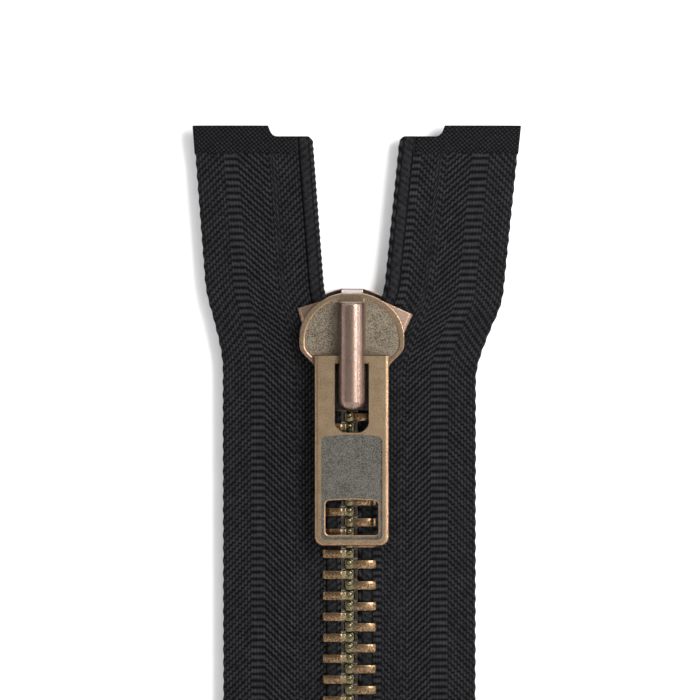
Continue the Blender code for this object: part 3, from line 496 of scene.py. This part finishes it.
def woven_heights(side, z, rng):
    """Heights from 0 to 1 of the web's columns: gap, cord, gap, cord ... gap, for rows at z."""
    phases = cord_phases(side) + rng.normal(0, 0.02, CORDS)
    strength = rng.uniform(LOWEST_FLOAT, 1.0, (int(TAPE_TOP / REPEAT) + 20, CORDS))
    drift = 0.05 * np.sin(z / (7 * MM) + side)

    def rise(columns, phase, power):
        turn = 2 * math.pi * (z[:, columns] / REPEAT - phase + drift[:, columns])
        return (0.5 + 0.5 * np.cos(turn)) ** power

    float_number = np.floor(z[:, 1:-1:2] / REPEAT - phases).astype(int)
    crowns = strength[float_number, np.arange(CORDS)] * rise(slice(1, -1, 2), phases, CROWN_POWER)
    crowns = np.clip(crowns + rng.normal(0, 0.05, crowns.shape), 0, 1)
    heights = np.zeros(z.shape)
    heights[:, 1:-1:2] = crowns
    between = rise(slice(2, -2, 2), (phases[:-1] + phases[1:]) / 2, GAP_POWER)
    heights[:, 2:-2:2] = 0.45 * np.minimum(crowns[:, :-1], crowns[:, 1:]) + 0.28 * between
    heights[:, 0] = 0.1
    heights[:, -1] = 0.5 * crowns[:, -1]
    return heights


print("cords:", CORDS, "pitch in mm:", round(CORD_PITCH / MM, 2))

# %% [markdown]
# ## The bead
#
# The tape's inner edge is folded round a cord and stitched, which gives the teeth something to grip. From
# the web inward it shows a deep groove, a smooth band, a row of stitches sunk into a thin groove, and a
# narrow edge where slanted stitches wrap round. The profile is drawn across the bead in parts of its width
# and the stitches repeat along it, closer on the left than on the right, where they are looped.

# %% Draw the bead's profile and stitches
BEAD_PARTS = np.array([0, 0.03, 0.09, 0.16, 0.23, 0.29, 0.34, 0.42, 0.52, 0.63, 0.74, 0.84, 0.92, 0.97])
STITCH_PITCH = {LEFT: 1.14 * MM, RIGHT: 1.95 * MM}
STITCH_DEPTH = 0.09 * MM
GROOVE_PART = 0.29


def bead_heights(side, z, rng):
    """Half the bead's thickness, and how raised each point looks, for rows at z."""
    across = np.abs(2 * BEAD_PARTS - 1)
    rounded = np.maximum((1 - across**3.4) ** (1 / 3.4), 0.10)
    rounded = np.maximum(rounded, np.where(BEAD_PARTS > 0.9, TAPE_THICKNESS / BEAD_THICKNESS, 0))
    turn = 2 * math.pi * z / STITCH_PITCH[side]
    slanted = 0.5 + 0.5 * np.cos(turn + 5 * BEAD_PARTS)
    dashes = 0.5 + 0.5 * np.cos(turn)
    fine = 0.5 + 0.5 * np.cos(2 * math.pi * (z / REPEAT + 1.5 * BEAD_PARTS))
    in_groove = np.exp(-(((BEAD_PARTS - GROOVE_PART) / 0.035) ** 2))
    on_edge = smoothstep((GROOVE_PART - 0.03 - BEAD_PARTS) / 0.05)
    raised = 0.38 + 0.25 * fine
    raised = raised * (1 - on_edge) + on_edge * (0.15 + 0.85 * slanted)
    raised = raised * (1 - in_groove * (0.55 + 0.45 * dashes))
    raised = raised * smoothstep((1.02 - BEAD_PARTS) / 0.1) + rng.normal(0, 0.08, z.shape)
    raised = np.clip(raised, 0, 1)
    return rounded * BEAD_THICKNESS / 2 - STITCH_DEPTH * (1 - raised), raised


print("columns across the bead:", len(BEAD_PARTS))

# %% [markdown]
# ## Weave both tapes
#
# On the real zipper each tape is one length from top to bottom. The frame has to split it where the
# stringers part, so the piece made here stands for both halves in one fixed mesh, which follows the tapes'
# line as drawn above. Under the fused film the press has flattened the cords, so the relief fades there.

# %% Weave the tapes
SCALLOP = 0.07 * MM
SCALLOP_PITCH = 2.15 * MM
FILM_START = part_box("right_top_film")[0].z
BEND_START, BEND_END = SPLIT_Z, SPLIT_Z + 15 * MM
rng = np.random.default_rng(5)


def weave_tape(side):
    """One tape with its bead: heights along every column, carried down its line as one closed solid."""
    rows = round(TAPE_TOP / REPEAT * ROWS_PER_REPEAT) + 1
    web_outward = BEAD_WIDTH + CORD_PITCH / 2 * np.arange(2 * CORDS + 1)
    outward = np.concatenate([BEAD_PARTS * BEAD_WIDTH, web_outward])
    share = np.linspace(0, 1, rows)[:, None]
    z = tape_bottom(outward) + share * (tape_top(outward) - tape_bottom(outward))
    beads = len(BEAD_PARTS)
    weave = woven_heights(side, z[:, beads:], rng)
    flattened = smoothstep((z[:, beads:] - FILM_START) / (0.6 * MM))
    weave = weave + flattened * (0.45 + 0.3 * weave - weave)
    bead_half, bead_raised = bead_heights(side, z[:, :beads], rng)
    front_half = TAPE_THICKNESS / 2 - CORD_RELIEF * (1 - weave)
    back_half = TAPE_THICKNESS / 2 - CORD_RELIEF * weave
    edge_thin = np.interp(outward[beads:], TAPE_WIDTH + np.array([-0.45, -0.2, 0]) * MM, [1, 0.85, 0.4])
    front_y = -np.hstack([bead_half, front_half * edge_thin])
    back_y = np.hstack([bead_half, back_half * edge_thin])
    scallop = SCALLOP * np.cos(2 * math.pi * z[:, -1] / SCALLOP_PITCH)
    placed = np.tile(outward, (rows, 1))
    placed[:, -1] += scallop
    placed[:, -2] += scallop / 2
    placed[:, 0] += 0.06 * MM * np.cos(2 * math.pi * z[:, 0] / STITCH_PITCH[side])
    x = tape_x(side, z, placed)
    front = np.stack([x, front_y, z], axis=-1)
    back = np.stack([x, back_y, z], axis=-1)[:, ::-1]
    raised_front = np.hstack([bead_raised, weave])
    raised = np.hstack([raised_front, np.hstack([bead_raised, 1 - weave])[:, ::-1]])
    name = SIDE_NAME[side]
    tape = ring_solid(f"{name}_woven_tape", np.concatenate([front, back], axis=1), woven_polyester, raised)
    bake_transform(tape)
    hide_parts(f"{name}_tape_end", f"{name}_tape")
    return tape


tapes = {side: weave_tape(side) for side in (LEFT, RIGHT)}
print("faces in a tape:", {side: len(tape.data.polygons) for side, tape in tapes.items()})

# %% [markdown]
# ## Press the films on
#
# A film is a thin shell folded over the selvedge. Its ring runs out along the outside and back along the
# inside. The outside follows the slanted ribs of the press, and the lower edge of a top film is a little
# ragged, because it melts before it is cut.

# %% Press the films
FILM_THICKNESS = 0.12 * MM
FILM_COLUMNS = 60
FILM_INSIDE = 0.31 * MM
RAGGED = 0.22 * MM


def press_film(side, place):
    """The top or bottom film of a side, a thin shell folded over the tape's outer edge."""
    name = f"{SIDE_NAME[side]}_{place}_film"
    low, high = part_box(name)
    if place == "top":
        start, bottom, ragged = BEAD_WIDTH + 0.3 * MM, low.z, RAGGED
    else:
        start, bottom, ragged = (low.x if side == RIGHT else -high.x) - BEAD_START, low.z, 0.0
    across = np.linspace(start, TAPE_WIDTH, FILM_COLUMNS)
    rows = max(12, round((high.z - low.z) / (0.35 * MM)))
    share = np.linspace(0, 1, rows)[:, None]
    lower = bottom + ragged * np.sin(across / (0.31 * MM)) * np.sin(across / (0.83 * MM))
    upper = tape_top(across) - 0.05 * MM if place == "top" else np.full(FILM_COLUMNS, high.z)
    z = lower + share * (upper - lower)
    ribs = 0.5 + 0.5 * np.cos(2 * math.pi * (across + z * 0.9) / RIB_PITCH / 2)
    outer = FILM_INSIDE + FILM_THICKNESS + 0.03 * MM * ribs
    wrapped = np.tile(across, (rows, 1))
    wrapped[:, -1] += 0.12 * MM
    inner_edge = wrapped.copy()
    inner_edge[:, -1] -= 0.06 * MM
    x_out, x_in = tape_x(side, z, wrapped), tape_x(side, z, inner_edge)
    inside = np.full(z.shape, FILM_INSIDE)
    outside_front = np.stack([x_out, -outer, z], axis=-1)
    outside_back = np.stack([x_out, outer, z], axis=-1)[:, ::-1]
    inside_back = np.stack([x_in, inside, z], axis=-1)
    inside_front = np.stack([x_in, -inside, z], axis=-1)[:, ::-1]
    around = np.concatenate([outside_front, outside_back, inside_back, inside_front], axis=1)
    film = ring_solid(f"{name}_pressed", around, fused_film)
    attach(film, f"{SIDE_NAME[side]}_stringer" if place == "top" else "bottom_end")
    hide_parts(name)
    return film


films = [press_film(side, place) for side in (LEFT, RIGHT) for place in ("top", "bottom")]
print("films:", [film.name for film in films])

# %% [markdown]
# ## Rounded metal
#
# Cast, stamped and folded metal has no sharp corners, and brushing wears the plating brighter along them.
# The frame's solids have the right shape with sharp edges, so each one is copied, its flat facets are
# joined into whole faces, and every real edge is rolled over by a small bevel that may take a brighter
# finish. Some faces lie sunk below the rest and were left unbrushed: a sorter looks at a face's middle and
# its direction and picks the finish.

# %% Copy a solid with rounded edges
def round_edges(shape, width, segments, sharper_than, index):
    """Bevel the edges that are sharper than so many degrees, and give the bevels one finish's number."""
    edges = [e for e in shape.edges if len(e.link_faces) == 2]
    edges = [e for e in edges if e.calc_face_angle(0) > math.radians(sharper_than)]
    bmesh.ops.bevel(shape, geom=edges, offset=width, segments=segments, profile=0.5, affect="EDGES",
                    clamp_overlap=True, material=index)


def settle(piece, degrees=32):
    """Smooth shading that keeps flat faces flat, with an edge only where faces meet sharply."""
    piece.data.shade_smooth()
    piece.data.set_sharp_from_angle(angle=math.radians(degrees))
    flatten = piece.modifiers.new("flat faces stay flat", "WEIGHTED_NORMAL")
    flatten.keep_sharp = True


def rounded_copy(node, finishes, width, segments=2, sharper_than=28, sorter=None, splits=(),
                 reshape=None, shaded=None):
    """A copy of a frame node, carried by the node's body. The first finish is for its faces, the second for
    its rounded edges and the rest for the faces that sorter(face) numbers. splits are planes that faces are
    divided along first, as a point and a normal, reshape(vertex) moves the vertices a little, and
    shaded(face) picks faces that take the fourth finish, rounded edges and all."""
    shape = bmesh.new()
    shape.from_mesh(frame["nodes"][node].data)
    bmesh.ops.remove_doubles(shape, verts=shape.verts, dist=0.002 * MM)
    bmesh.ops.dissolve_limit(shape, angle_limit=math.radians(1), verts=shape.verts, edges=shape.edges)
    for point, normal in splits:
        everything = shape.verts[:] + shape.edges[:] + shape.faces[:]
        bmesh.ops.bisect_plane(shape, geom=everything, plane_co=point, plane_no=normal, dist=0.001 * MM)
    for face in shape.faces:
        face.material_index = sorter(face) if sorter else 0
    for vertex in shape.verts if reshape else ():
        reshape(vertex)
    round_edges(shape, width, segments, sharper_than, 1)
    for face in shape.faces:
        if shaded and shaded(face):
            face.material_index = 3
    mesh = bpy.data.meshes.new(node + "_metal")
    shape.to_mesh(mesh)
    shape.free()
    for finish in finishes:
        mesh.materials.append(finish)
    piece = bpy.data.objects.new(node + "_metal", mesh)
    bpy.context.collection.objects.link(piece)
    settle(piece)
    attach(piece, BODY_OF[node])
    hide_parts(node)
    return piece


print("bevels are ready")

# %% [markdown]
# ## The teeth
#
# Each tooth is stamped from brass wire as a Y and closed over the bead. Seen from the front it is a flat
# leg that ends in a bent bevel, then a shoulder that slopes down to a thinner neck and a broad head with a
# nub on top and a cup underneath. It is built as one skin over rounded sections along its length, with the
# shape of the bead cut out of it, and one mesh serves all the teeth of a side.

# %% Shape a tooth
tooth_low, tooth_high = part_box("right_tooth_01")
TOOTH_END, TOOTH_TIP = tooth_high.x, tooth_low.x
FACE = (tooth_high.y - tooth_low.y) / 2
HEAD_HALF = 0.84 * MM
# Places along a tooth from the leg's end to the head's tip, with half its depth and half its thickness.
TOOTH_SECTIONS = [
    (TOOTH_END, FACE - 0.60 * MM, 0.62 * MM),
    (TOOTH_END - 0.08 * MM, FACE - 0.50 * MM, 0.70 * MM),
    (TOOTH_END - 0.32 * MM, FACE - 0.30 * MM, 0.73 * MM),
    (TOOTH_END - 0.58 * MM, FACE - 0.15 * MM, 0.73 * MM),
    (TOOTH_END - 2.0 * MM, FACE - 0.07 * MM, 0.73 * MM),
    (1.50 * MM, FACE, 0.73 * MM),
    (1.36 * MM, FACE - 0.01 * MM, 0.73 * MM),
    (0.76 * MM, FACE - 0.46 * MM, 0.68 * MM),
    (0.60 * MM, FACE - 0.54 * MM, 0.68 * MM),
    (0.42 * MM, FACE - 0.52 * MM, 0.80 * MM),
    (0.15 * MM, FACE - 0.46 * MM, HEAD_HALF),
    (-0.25 * MM, FACE - 0.44 * MM, HEAD_HALF),
    (-0.55 * MM, FACE - 0.60 * MM, HEAD_HALF - 0.02 * MM),
    (-0.80 * MM, FACE - 0.84 * MM, HEAD_HALF - 0.10 * MM),
    (TOOTH_TIP, FACE - 1.05 * MM, HEAD_HALF - 0.30 * MM),
]
CORNER = 0.13 * MM
CORNER_STEPS = 3


def rounded_section(outward, depth, height):
    """A rounded rectangle across the tooth, as (outward, y, z) points."""
    around = []
    for sy, sz, first in ((1, 1, 0), (-1, 1, 90), (-1, -1, 180), (1, -1, 270)):
        for step in range(CORNER_STEPS + 1):
            turn = math.radians(first + 90 * step / CORNER_STEPS)
            y = sy * (depth - CORNER) + CORNER * math.cos(turn)
            z = sz * (height - CORNER) + CORNER * math.sin(turn)
            around.append((outward, y, z))
    return around


def skin(rings):
    """A closed bmesh over rings of equally many points, with a face on each end."""
    shape = bmesh.new()
    rows = [[shape.verts.new(point) for point in ring] for ring in rings]
    for low, high in zip(rows, rows[1:]):
        for i in range(len(low)):
            j = (i + 1) % len(low)
            shape.faces.new((low[i], low[j], high[j], high[i]))
    shape.faces.new(rows[0][::-1])
    shape.faces.new(rows[-1])
    bmesh.ops.recalc_face_normals(shape, faces=shape.faces)
    return shape


def as_object(name, shape):
    """An object of a bmesh, which is freed."""
    mesh = bpy.data.meshes.new(name)
    shape.to_mesh(mesh)
    shape.free()
    made = bpy.data.objects.new(name, mesh)
    bpy.context.collection.objects.link(made)
    return made


def apply_modifiers(piece):
    """Replace a piece's mesh with what its modifiers make of it."""
    evaluated = piece.evaluated_get(bpy.context.evaluated_depsgraph_get())
    made = bpy.data.meshes.new_from_object(evaluated)
    piece.modifiers.clear()
    piece.data = made
    return made


def combine(piece, other, operation):
    """Cut or join other into piece, and remove other."""
    modifier = piece.modifiers.new(operation, "BOOLEAN")
    modifier.object = other
    modifier.operation = operation
    modifier.solver = "EXACT"
    apply_modifiers(piece)
    bpy.data.objects.remove(other)


def cut(piece, cutter):
    combine(piece, cutter, "DIFFERENCE")


def join(piece, other):
    combine(piece, other, "UNION")


def dome(place, radii):
    """An ellipsoid, for the nub on a head and for the cup below it."""
    shape = bmesh.new()
    bmesh.ops.create_uvsphere(shape, u_segments=20, v_segments=12, radius=1)
    bmesh.ops.transform(shape, verts=shape.verts,
                        matrix=Matrix.Translation(place) @ Matrix.Diagonal((*radii, 1)))
    return shape


def bead_slot():
    """What a tooth straddles: the bead, and the web beside it."""
    inner, outer = BEAD_START - 0.08 * MM, BEAD_START + BEAD_WIDTH + 0.05 * MM
    grip, web = BEAD_THICKNESS / 2 + 0.03 * MM, TAPE_THICKNESS / 2 + 0.02 * MM
    outline = [(inner, -grip), (outer, -grip), (outer + 0.2 * MM, -web), (TOOTH_END + MM, -web)]
    outline += [(x, -y) for x, y in reversed(outline)]
    return skin([[(x, y, z) for x, y in outline] for z in (-MM, MM)])


tooth = as_object("tooth", skin([rounded_section(*section) for section in TOOTH_SECTIONS]))
cut(tooth, as_object("bead_slot", bead_slot()))
cup = dome((-0.18 * MM, 0, -HEAD_HALF), (0.52 * MM, 0.80 * MM, 0.34 * MM))
cut(tooth, as_object("cup", cup))
nub = dome((-0.18 * MM, 0, HEAD_HALF - 0.06 * MM), (0.42 * MM, 0.68 * MM, 0.26 * MM))
join(tooth, as_object("nub", nub))
for face_side in (-1, 1):
    middle = (-0.02 * MM, face_side * (FACE - 0.55 * MM), 0.30 * MM)
    knuckle = dome(middle, (0.56 * MM, 0.42 * MM, 0.50 * MM))
    join(tooth, as_object("knuckle", knuckle))
tooth_mesh = {RIGHT: tooth.data}
tooth_mesh[LEFT] = tooth.data.copy()
tooth_mesh[LEFT].transform(Matrix.Scale(-1, 4, (1, 0, 0)))
tooth_mesh[LEFT].flip_normals()
bpy.data.objects.remove(tooth)
for side, mesh in tooth_mesh.items():
    mesh.name = f"{SIDE_NAME[side]}_tooth_shape"
    mesh.materials.clear()
    mesh.materials.append(tooth_brass)
    patina = [float(np.interp(abs(v.co.x) / MM, [0.75, 1.0], [1, 0])) for v in mesh.vertices]
    mesh.attributes.new("patina", "FLOAT", "POINT").data.foreach_set("value", patina)
    mesh.shade_smooth()
    mesh.set_sharp_from_angle(angle=math.radians(38))
print("faces in a tooth:", len(tooth_mesh[RIGHT].polygons))

# %% [markdown]
# ## Clamp the teeth on
#
# A tooth sits square to its tape, so where the tape leans the tooth leans with it. The lowest tooth of each
# side is inside the joint that parts, those just above it bend away with the tape, and the rest follow
# their stringer.

# %% Place every tooth
def lean_turn(side, z):
    """The turn that sets a piece square to the tape where it leans at height z."""
    step = 0.5 * MM
    rise = (spread(side, z + step) - spread(side, z - step)) / (2 * step)
    return Matrix.Rotation(side * math.atan(rise), 4, "Y")


def tooth_place(side, z):
    """Where a tooth goes on its bead at height z, as a matrix."""
    middle = BEAD_START + BEAD_WIDTH / 2
    out = Matrix.Translation((side * (middle + spread(side, z)), 0, z))
    return out @ lean_turn(side, z) @ Matrix.Translation((-side * middle, 0, 0))


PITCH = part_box("right_tooth_02")[0].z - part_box("right_tooth_01")[0].z
for node in sorted(frame["nodes"]):
    if "_tooth_" not in node:
        continue
    side = LEFT if node.startswith("left") else RIGHT
    first_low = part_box(f"{SIDE_NAME[side]}_tooth_01")[0]
    z = first_low.z + HEAD_HALF + (int(node[-2:]) - 1) * PITCH
    bends = SPLIT_Z < z < BEND_END
    clamped = bpy.data.objects.new(node + "_brass", tooth_mesh[side].copy() if bends else tooth_mesh[side])
    bpy.context.collection.objects.link(clamped)
    clamped.matrix_world = tooth_place(side, z)
    if bends:
        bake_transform(clamped)
    else:
        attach(clamped, BODY_OF[node])
    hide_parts(node)

# %% [markdown]
# ## Slider, pull, stops and bottom end
#
# These keep the frame's shapes. The slider's sunk fields and the pull's sunk panel stay dark and grainy,
# and everything that stands proud is brushed. The slider's channel and the patch of its front plate under
# the pull are painted near-black, as painted shade and the pull's painted shadow.

# %% Finish the metal pieces
CHANNEL_SIDE = 1.8 * MM
FIELD_Y = -2.6 * MM
SLIDER_X = (slider_low.x + slider_high.x) / 2
WEDGE_HALF = 1.8 * MM
# The patch of the front plate under the pull, which is painted dark as the pull's shadow.
HIDDEN_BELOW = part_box("pull_tab")[1].z - 0.8 * MM
HIDDEN_HALF = 3.0 * MM
BACK_NOSE_PROUD = 0.5 * MM
NOSE_LENGTH = 7.5 * MM
STOP_SQUEEZE = 0.42  # share of its depth that a stop has lost at its outer end


def sort_body(face):
    """Slider: the sunk fields, the channel, which takes the painted shade finish, and the wedge's bare end.
    """
    middle = face.calc_center_median()
    beside = abs(middle.x - SLIDER_X)
    if face.normal.z > 0.5 and abs(middle.y) < CHANNEL_SIDE and beside < WEDGE_HALF:
        return 4
    # The inside of the channel gets painted shade.
    if abs(middle.y) < CHANNEL_SIDE:
        return 3
    if face.normal.y < -0.9 and abs(middle.y - FIELD_Y) < 0.1 * MM:
        return 2
    return 0


def pull_shadow_faces(face):
    """The part of the front plate that the pull covers, painted near-black as the pull's painted shadow."""
    middle = face.calc_center_median()
    inside = middle.z < HIDDEN_BELOW and abs(middle.x - SLIDER_X) < HIDDEN_HALF
    return inside and middle.y < -CHANNEL_SIDE


def show_throat(vertex):
    """The back plate and the wedge reach a little past the front plate, so the throat shows above it."""
    if vertex.co.y > -CHANNEL_SIDE + 0.1 * MM:
        along_nose = (vertex.co.z - slider_high.z + NOSE_LENGTH) / NOSE_LENGTH
        vertex.co.z += BACK_NOSE_PROUD * float(smoothstep(along_nose))


def squeeze_stop(vertex):
    """A stop is pressed flatter at its outer end, beyond the bead."""
    outward = abs(vertex.co.x) - BEAD_START - spread(LEFT if vertex.co.x < 0 else RIGHT, vertex.co.z)
    vertex.co.y *= 1 - STOP_SQUEEZE * float(smoothstep((outward - 1.9 * MM) / (4.6 * MM)))


# Planes that cut out the patch under the pull, which takes the painted shadow.
pull_shadow_planes = [((0, 0, HIDDEN_BELOW), (0, 0, 1))]
pull_shadow_planes += [((SLIDER_X + x, 0, 0), (1, 0, 0)) for x in (-HIDDEN_HALF, HIDDEN_HALF)]
body_finishes = [olive_rim, worn_rim, sand_field, painted_shade_plating, rubbed_zinc]
rounded_copy("slider_body", body_finishes, 0.12 * MM, sorter=sort_body,
             splits=pull_shadow_planes, reshape=show_throat, shaded=pull_shadow_faces)
rounded_copy("slider_cover", [copper_sheet, copper_sheet], 0.12 * MM)
for side in (LEFT, RIGHT):
    rounded_copy(f"{SIDE_NAME[side]}_top_stop", [copper_sheet, worn_rim], 0.10 * MM,
                 reshape=squeeze_stop)
for node, width in (("retainer_box", 0.18 * MM), ("box_pin", 0.08 * MM), ("insertion_pin", 0.08 * MM)):
    rounded_copy(node, [sand_field, worn_rim], width)
for node, width in (("locking_pin", 0.05 * MM), ("leaf_spring", 0.04 * MM)):
    rounded_copy(node, [spring_steel, spring_steel], width)

# %% [markdown]
# ## The pull
#
# The pull is one casting: a plate with broad rounded edges, a slot that lets it swing over the cover, a
# sunk panel with a slightly arched top, and a window. It is skinned over copies of its outline that step in
# towards each face, which gives the broad rounding, and then the openings are cut. The brushed edges and
# the sunk panel get their own finishes by where their faces lie, and the sunk panel's walls take a
# near-black painted shade.

# %% Cast the pull
pull_low, pull_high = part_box("pull_tab")
PULL_X = (pull_low.x + pull_high.x) / 2
PULL_BAR = 1.4 * MM
SLOT_WIDTH, SLOT_LENGTH, SLOT_CHAMFER = 5.7 * MM, 11.6 * MM, 1.45 * MM
PANEL_RIM, PANEL_LENGTH, PANEL_ARCH, PANEL_DEPTH = 1.1 * MM, 17.2 * MM, 0.4 * MM, 0.3 * MM
WINDOW_WIDTH, WINDOW_HEIGHT, WINDOW_ABOVE, WINDOW_ARCH = 8.8 * MM, 5.7 * MM, 1.8 * MM, 0.25 * MM
# How far the outline steps in, and how far below the face it does so.
EDGE_STEPS = [(0.62, 0.0), (0.40, 0.04), (0.20, 0.13), (0.07, 0.27), (0.0, 0.46)]


def arched_outline(low_x, low_z, high_x, high_z, radii, arch=0.0, steps=6):
    """A rounded rectangle whose top edge bulges by arch. The radii start at the lower left corner and run
    anticlockwise."""
    corners = [(low_x, low_z, 1, 1, 180), (high_x, low_z, -1, 1, 270), (high_x, high_z, -1, -1, 0),
               (low_x, high_z, 1, -1, 90)]
    middle, reach = (low_x + high_x) / 2, (high_x - low_x) / 2
    outline = []
    for (x, z, inward_x, inward_z, first), radius in zip(corners, radii):
        for i in range(steps + 1):
            turn = math.radians(first + 90 * i / steps)
            outward_x, upward_z = inward_x + math.cos(turn), inward_z + math.sin(turn)
            outline.append((x + radius * outward_x, z + radius * upward_z))
        if inward_z < 0 and inward_x < 0 and arch:
            outline += [(middle + reach * t, high_z) for t in (0.6, 0.3, 0.0, -0.3, -0.6)]
    half_up = (low_z + high_z) / 2
    return [(x, z + arch * (1 - ((x - middle) / reach) ** 2) * (z > half_up)) for x, z in outline]


def plate(outline, front, back):
    """A flat solid with one outline, from y front to y back."""
    return skin([[(x, y, z) for x, z in outline] for y in (front, back)])


def pull_outline(step_in):
    """The pull's outline, stepped in evenly, but hardly at its top."""
    radii = [1.5 * MM - step_in] * 2 + [max(0.35 * MM - step_in, 0.02 * MM)] * 2
    return arched_outline(pull_low.x + step_in, pull_low.z + step_in, pull_high.x - step_in,
                          pull_high.z - min(step_in, 0.12 * MM), radii)


front_steps = [(step * MM, pull_low.y + depth * MM) for step, depth in EDGE_STEPS]
back_steps = [(step * MM, pull_high.y - depth * MM) for step, depth in reversed(EDGE_STEPS)]
pull = as_object("pull_tab_cast", skin([[(x, y, z) for x, z in pull_outline(step)]
                                        for step, y in front_steps + back_steps]))
slot_top = pull_high.z - PULL_BAR
slot_half = SLOT_WIDTH / 2
slot = [(slot_half, slot_top), (slot_half, slot_top - SLOT_LENGTH + SLOT_CHAMFER)]
slot += [(slot_half - 0.3 * MM, slot_top - SLOT_LENGTH + 0.85 * MM)]
slot += [(slot_half - 0.85 * MM, slot_top - SLOT_LENGTH + 0.3 * MM)]
slot += [(slot_half - SLOT_CHAMFER, slot_top - SLOT_LENGTH)]
slot = [(PULL_X + x, z) for x, z in slot] + [(PULL_X - x, z) for x, z in reversed(slot)]
panel = arched_outline(pull_low.x + PANEL_RIM, pull_low.z + PANEL_RIM, pull_high.x - PANEL_RIM,
                       pull_low.z + PANEL_RIM + PANEL_LENGTH, [0.8 * MM] * 4, PANEL_ARCH)
window_low = pull_low.z + WINDOW_ABOVE
window = arched_outline(PULL_X - WINDOW_WIDTH / 2, window_low, PULL_X + WINDOW_WIDTH / 2,
                        window_low + WINDOW_HEIGHT, [0.6 * MM] * 4, WINDOW_ARCH)
through = (pull_low.y - MM, pull_high.y + MM)
cut(pull, as_object("panel", plate(panel, pull_low.y - MM, pull_low.y + PANEL_DEPTH)))
cut(pull, as_object("slot", plate(slot, *through)))
cut(pull, as_object("window", plate(window, *through)))
shape = bmesh.new()
shape.from_mesh(pull.data)
bmesh.ops.dissolve_limit(shape, angle_limit=math.radians(0.5), verts=shape.verts, edges=shape.edges)
for face in shape.faces:
    middle = face.calc_center_median()
    depth = middle.y - pull_low.y
    face.material_index = 1 if abs(face.normal.y) < 0.96 else 0
    if face.normal.y < -0.9 and abs(depth - PANEL_DEPTH) < 0.05 * MM:
        face.material_index = 2
    # The sunk panel's walls take painted shade.
    if abs(face.normal.y) < 0.5 and 0.3 * PANEL_DEPTH < depth < 0.7 * PANEL_DEPTH:
        face.material_index = 3


def on_window_lip(edge):
    """Whether an edge lies between the sunk panel and the window."""
    return any(f.material_index == 2 for f in edge.link_faces) and all(
        abs(v.co.x - PULL_X) < WINDOW_WIDTH / 2 + 0.1 * MM and v.co.z < window_low + WINDOW_HEIGHT + MM
        for v in edge.verts)


lip = [e for e in shape.edges if on_window_lip(e)]
bmesh.ops.bevel(shape, geom=lip, offset=0.2 * MM, segments=2, profile=0.5, affect="EDGES", material=1)
round_edges(shape, 0.09 * MM, 2, 50, 1)
shape.to_mesh(pull.data)
shape.free()
for finish in (sand_pull, worn_rim, dark_panel, painted_shade_plating):
    pull.data.materials.append(finish)
settle(pull)
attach(pull, "pull")
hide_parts("pull_tab")
print("faces in the pull:", len(pull.data.polygons))

# %% [markdown]
# ## Finish
#
# The frame's size is printed at the end.

# %% Print the frame's size
print("frame in mm:", [round(v / MM, 2) for v in (*cad_low, *cad_high)])
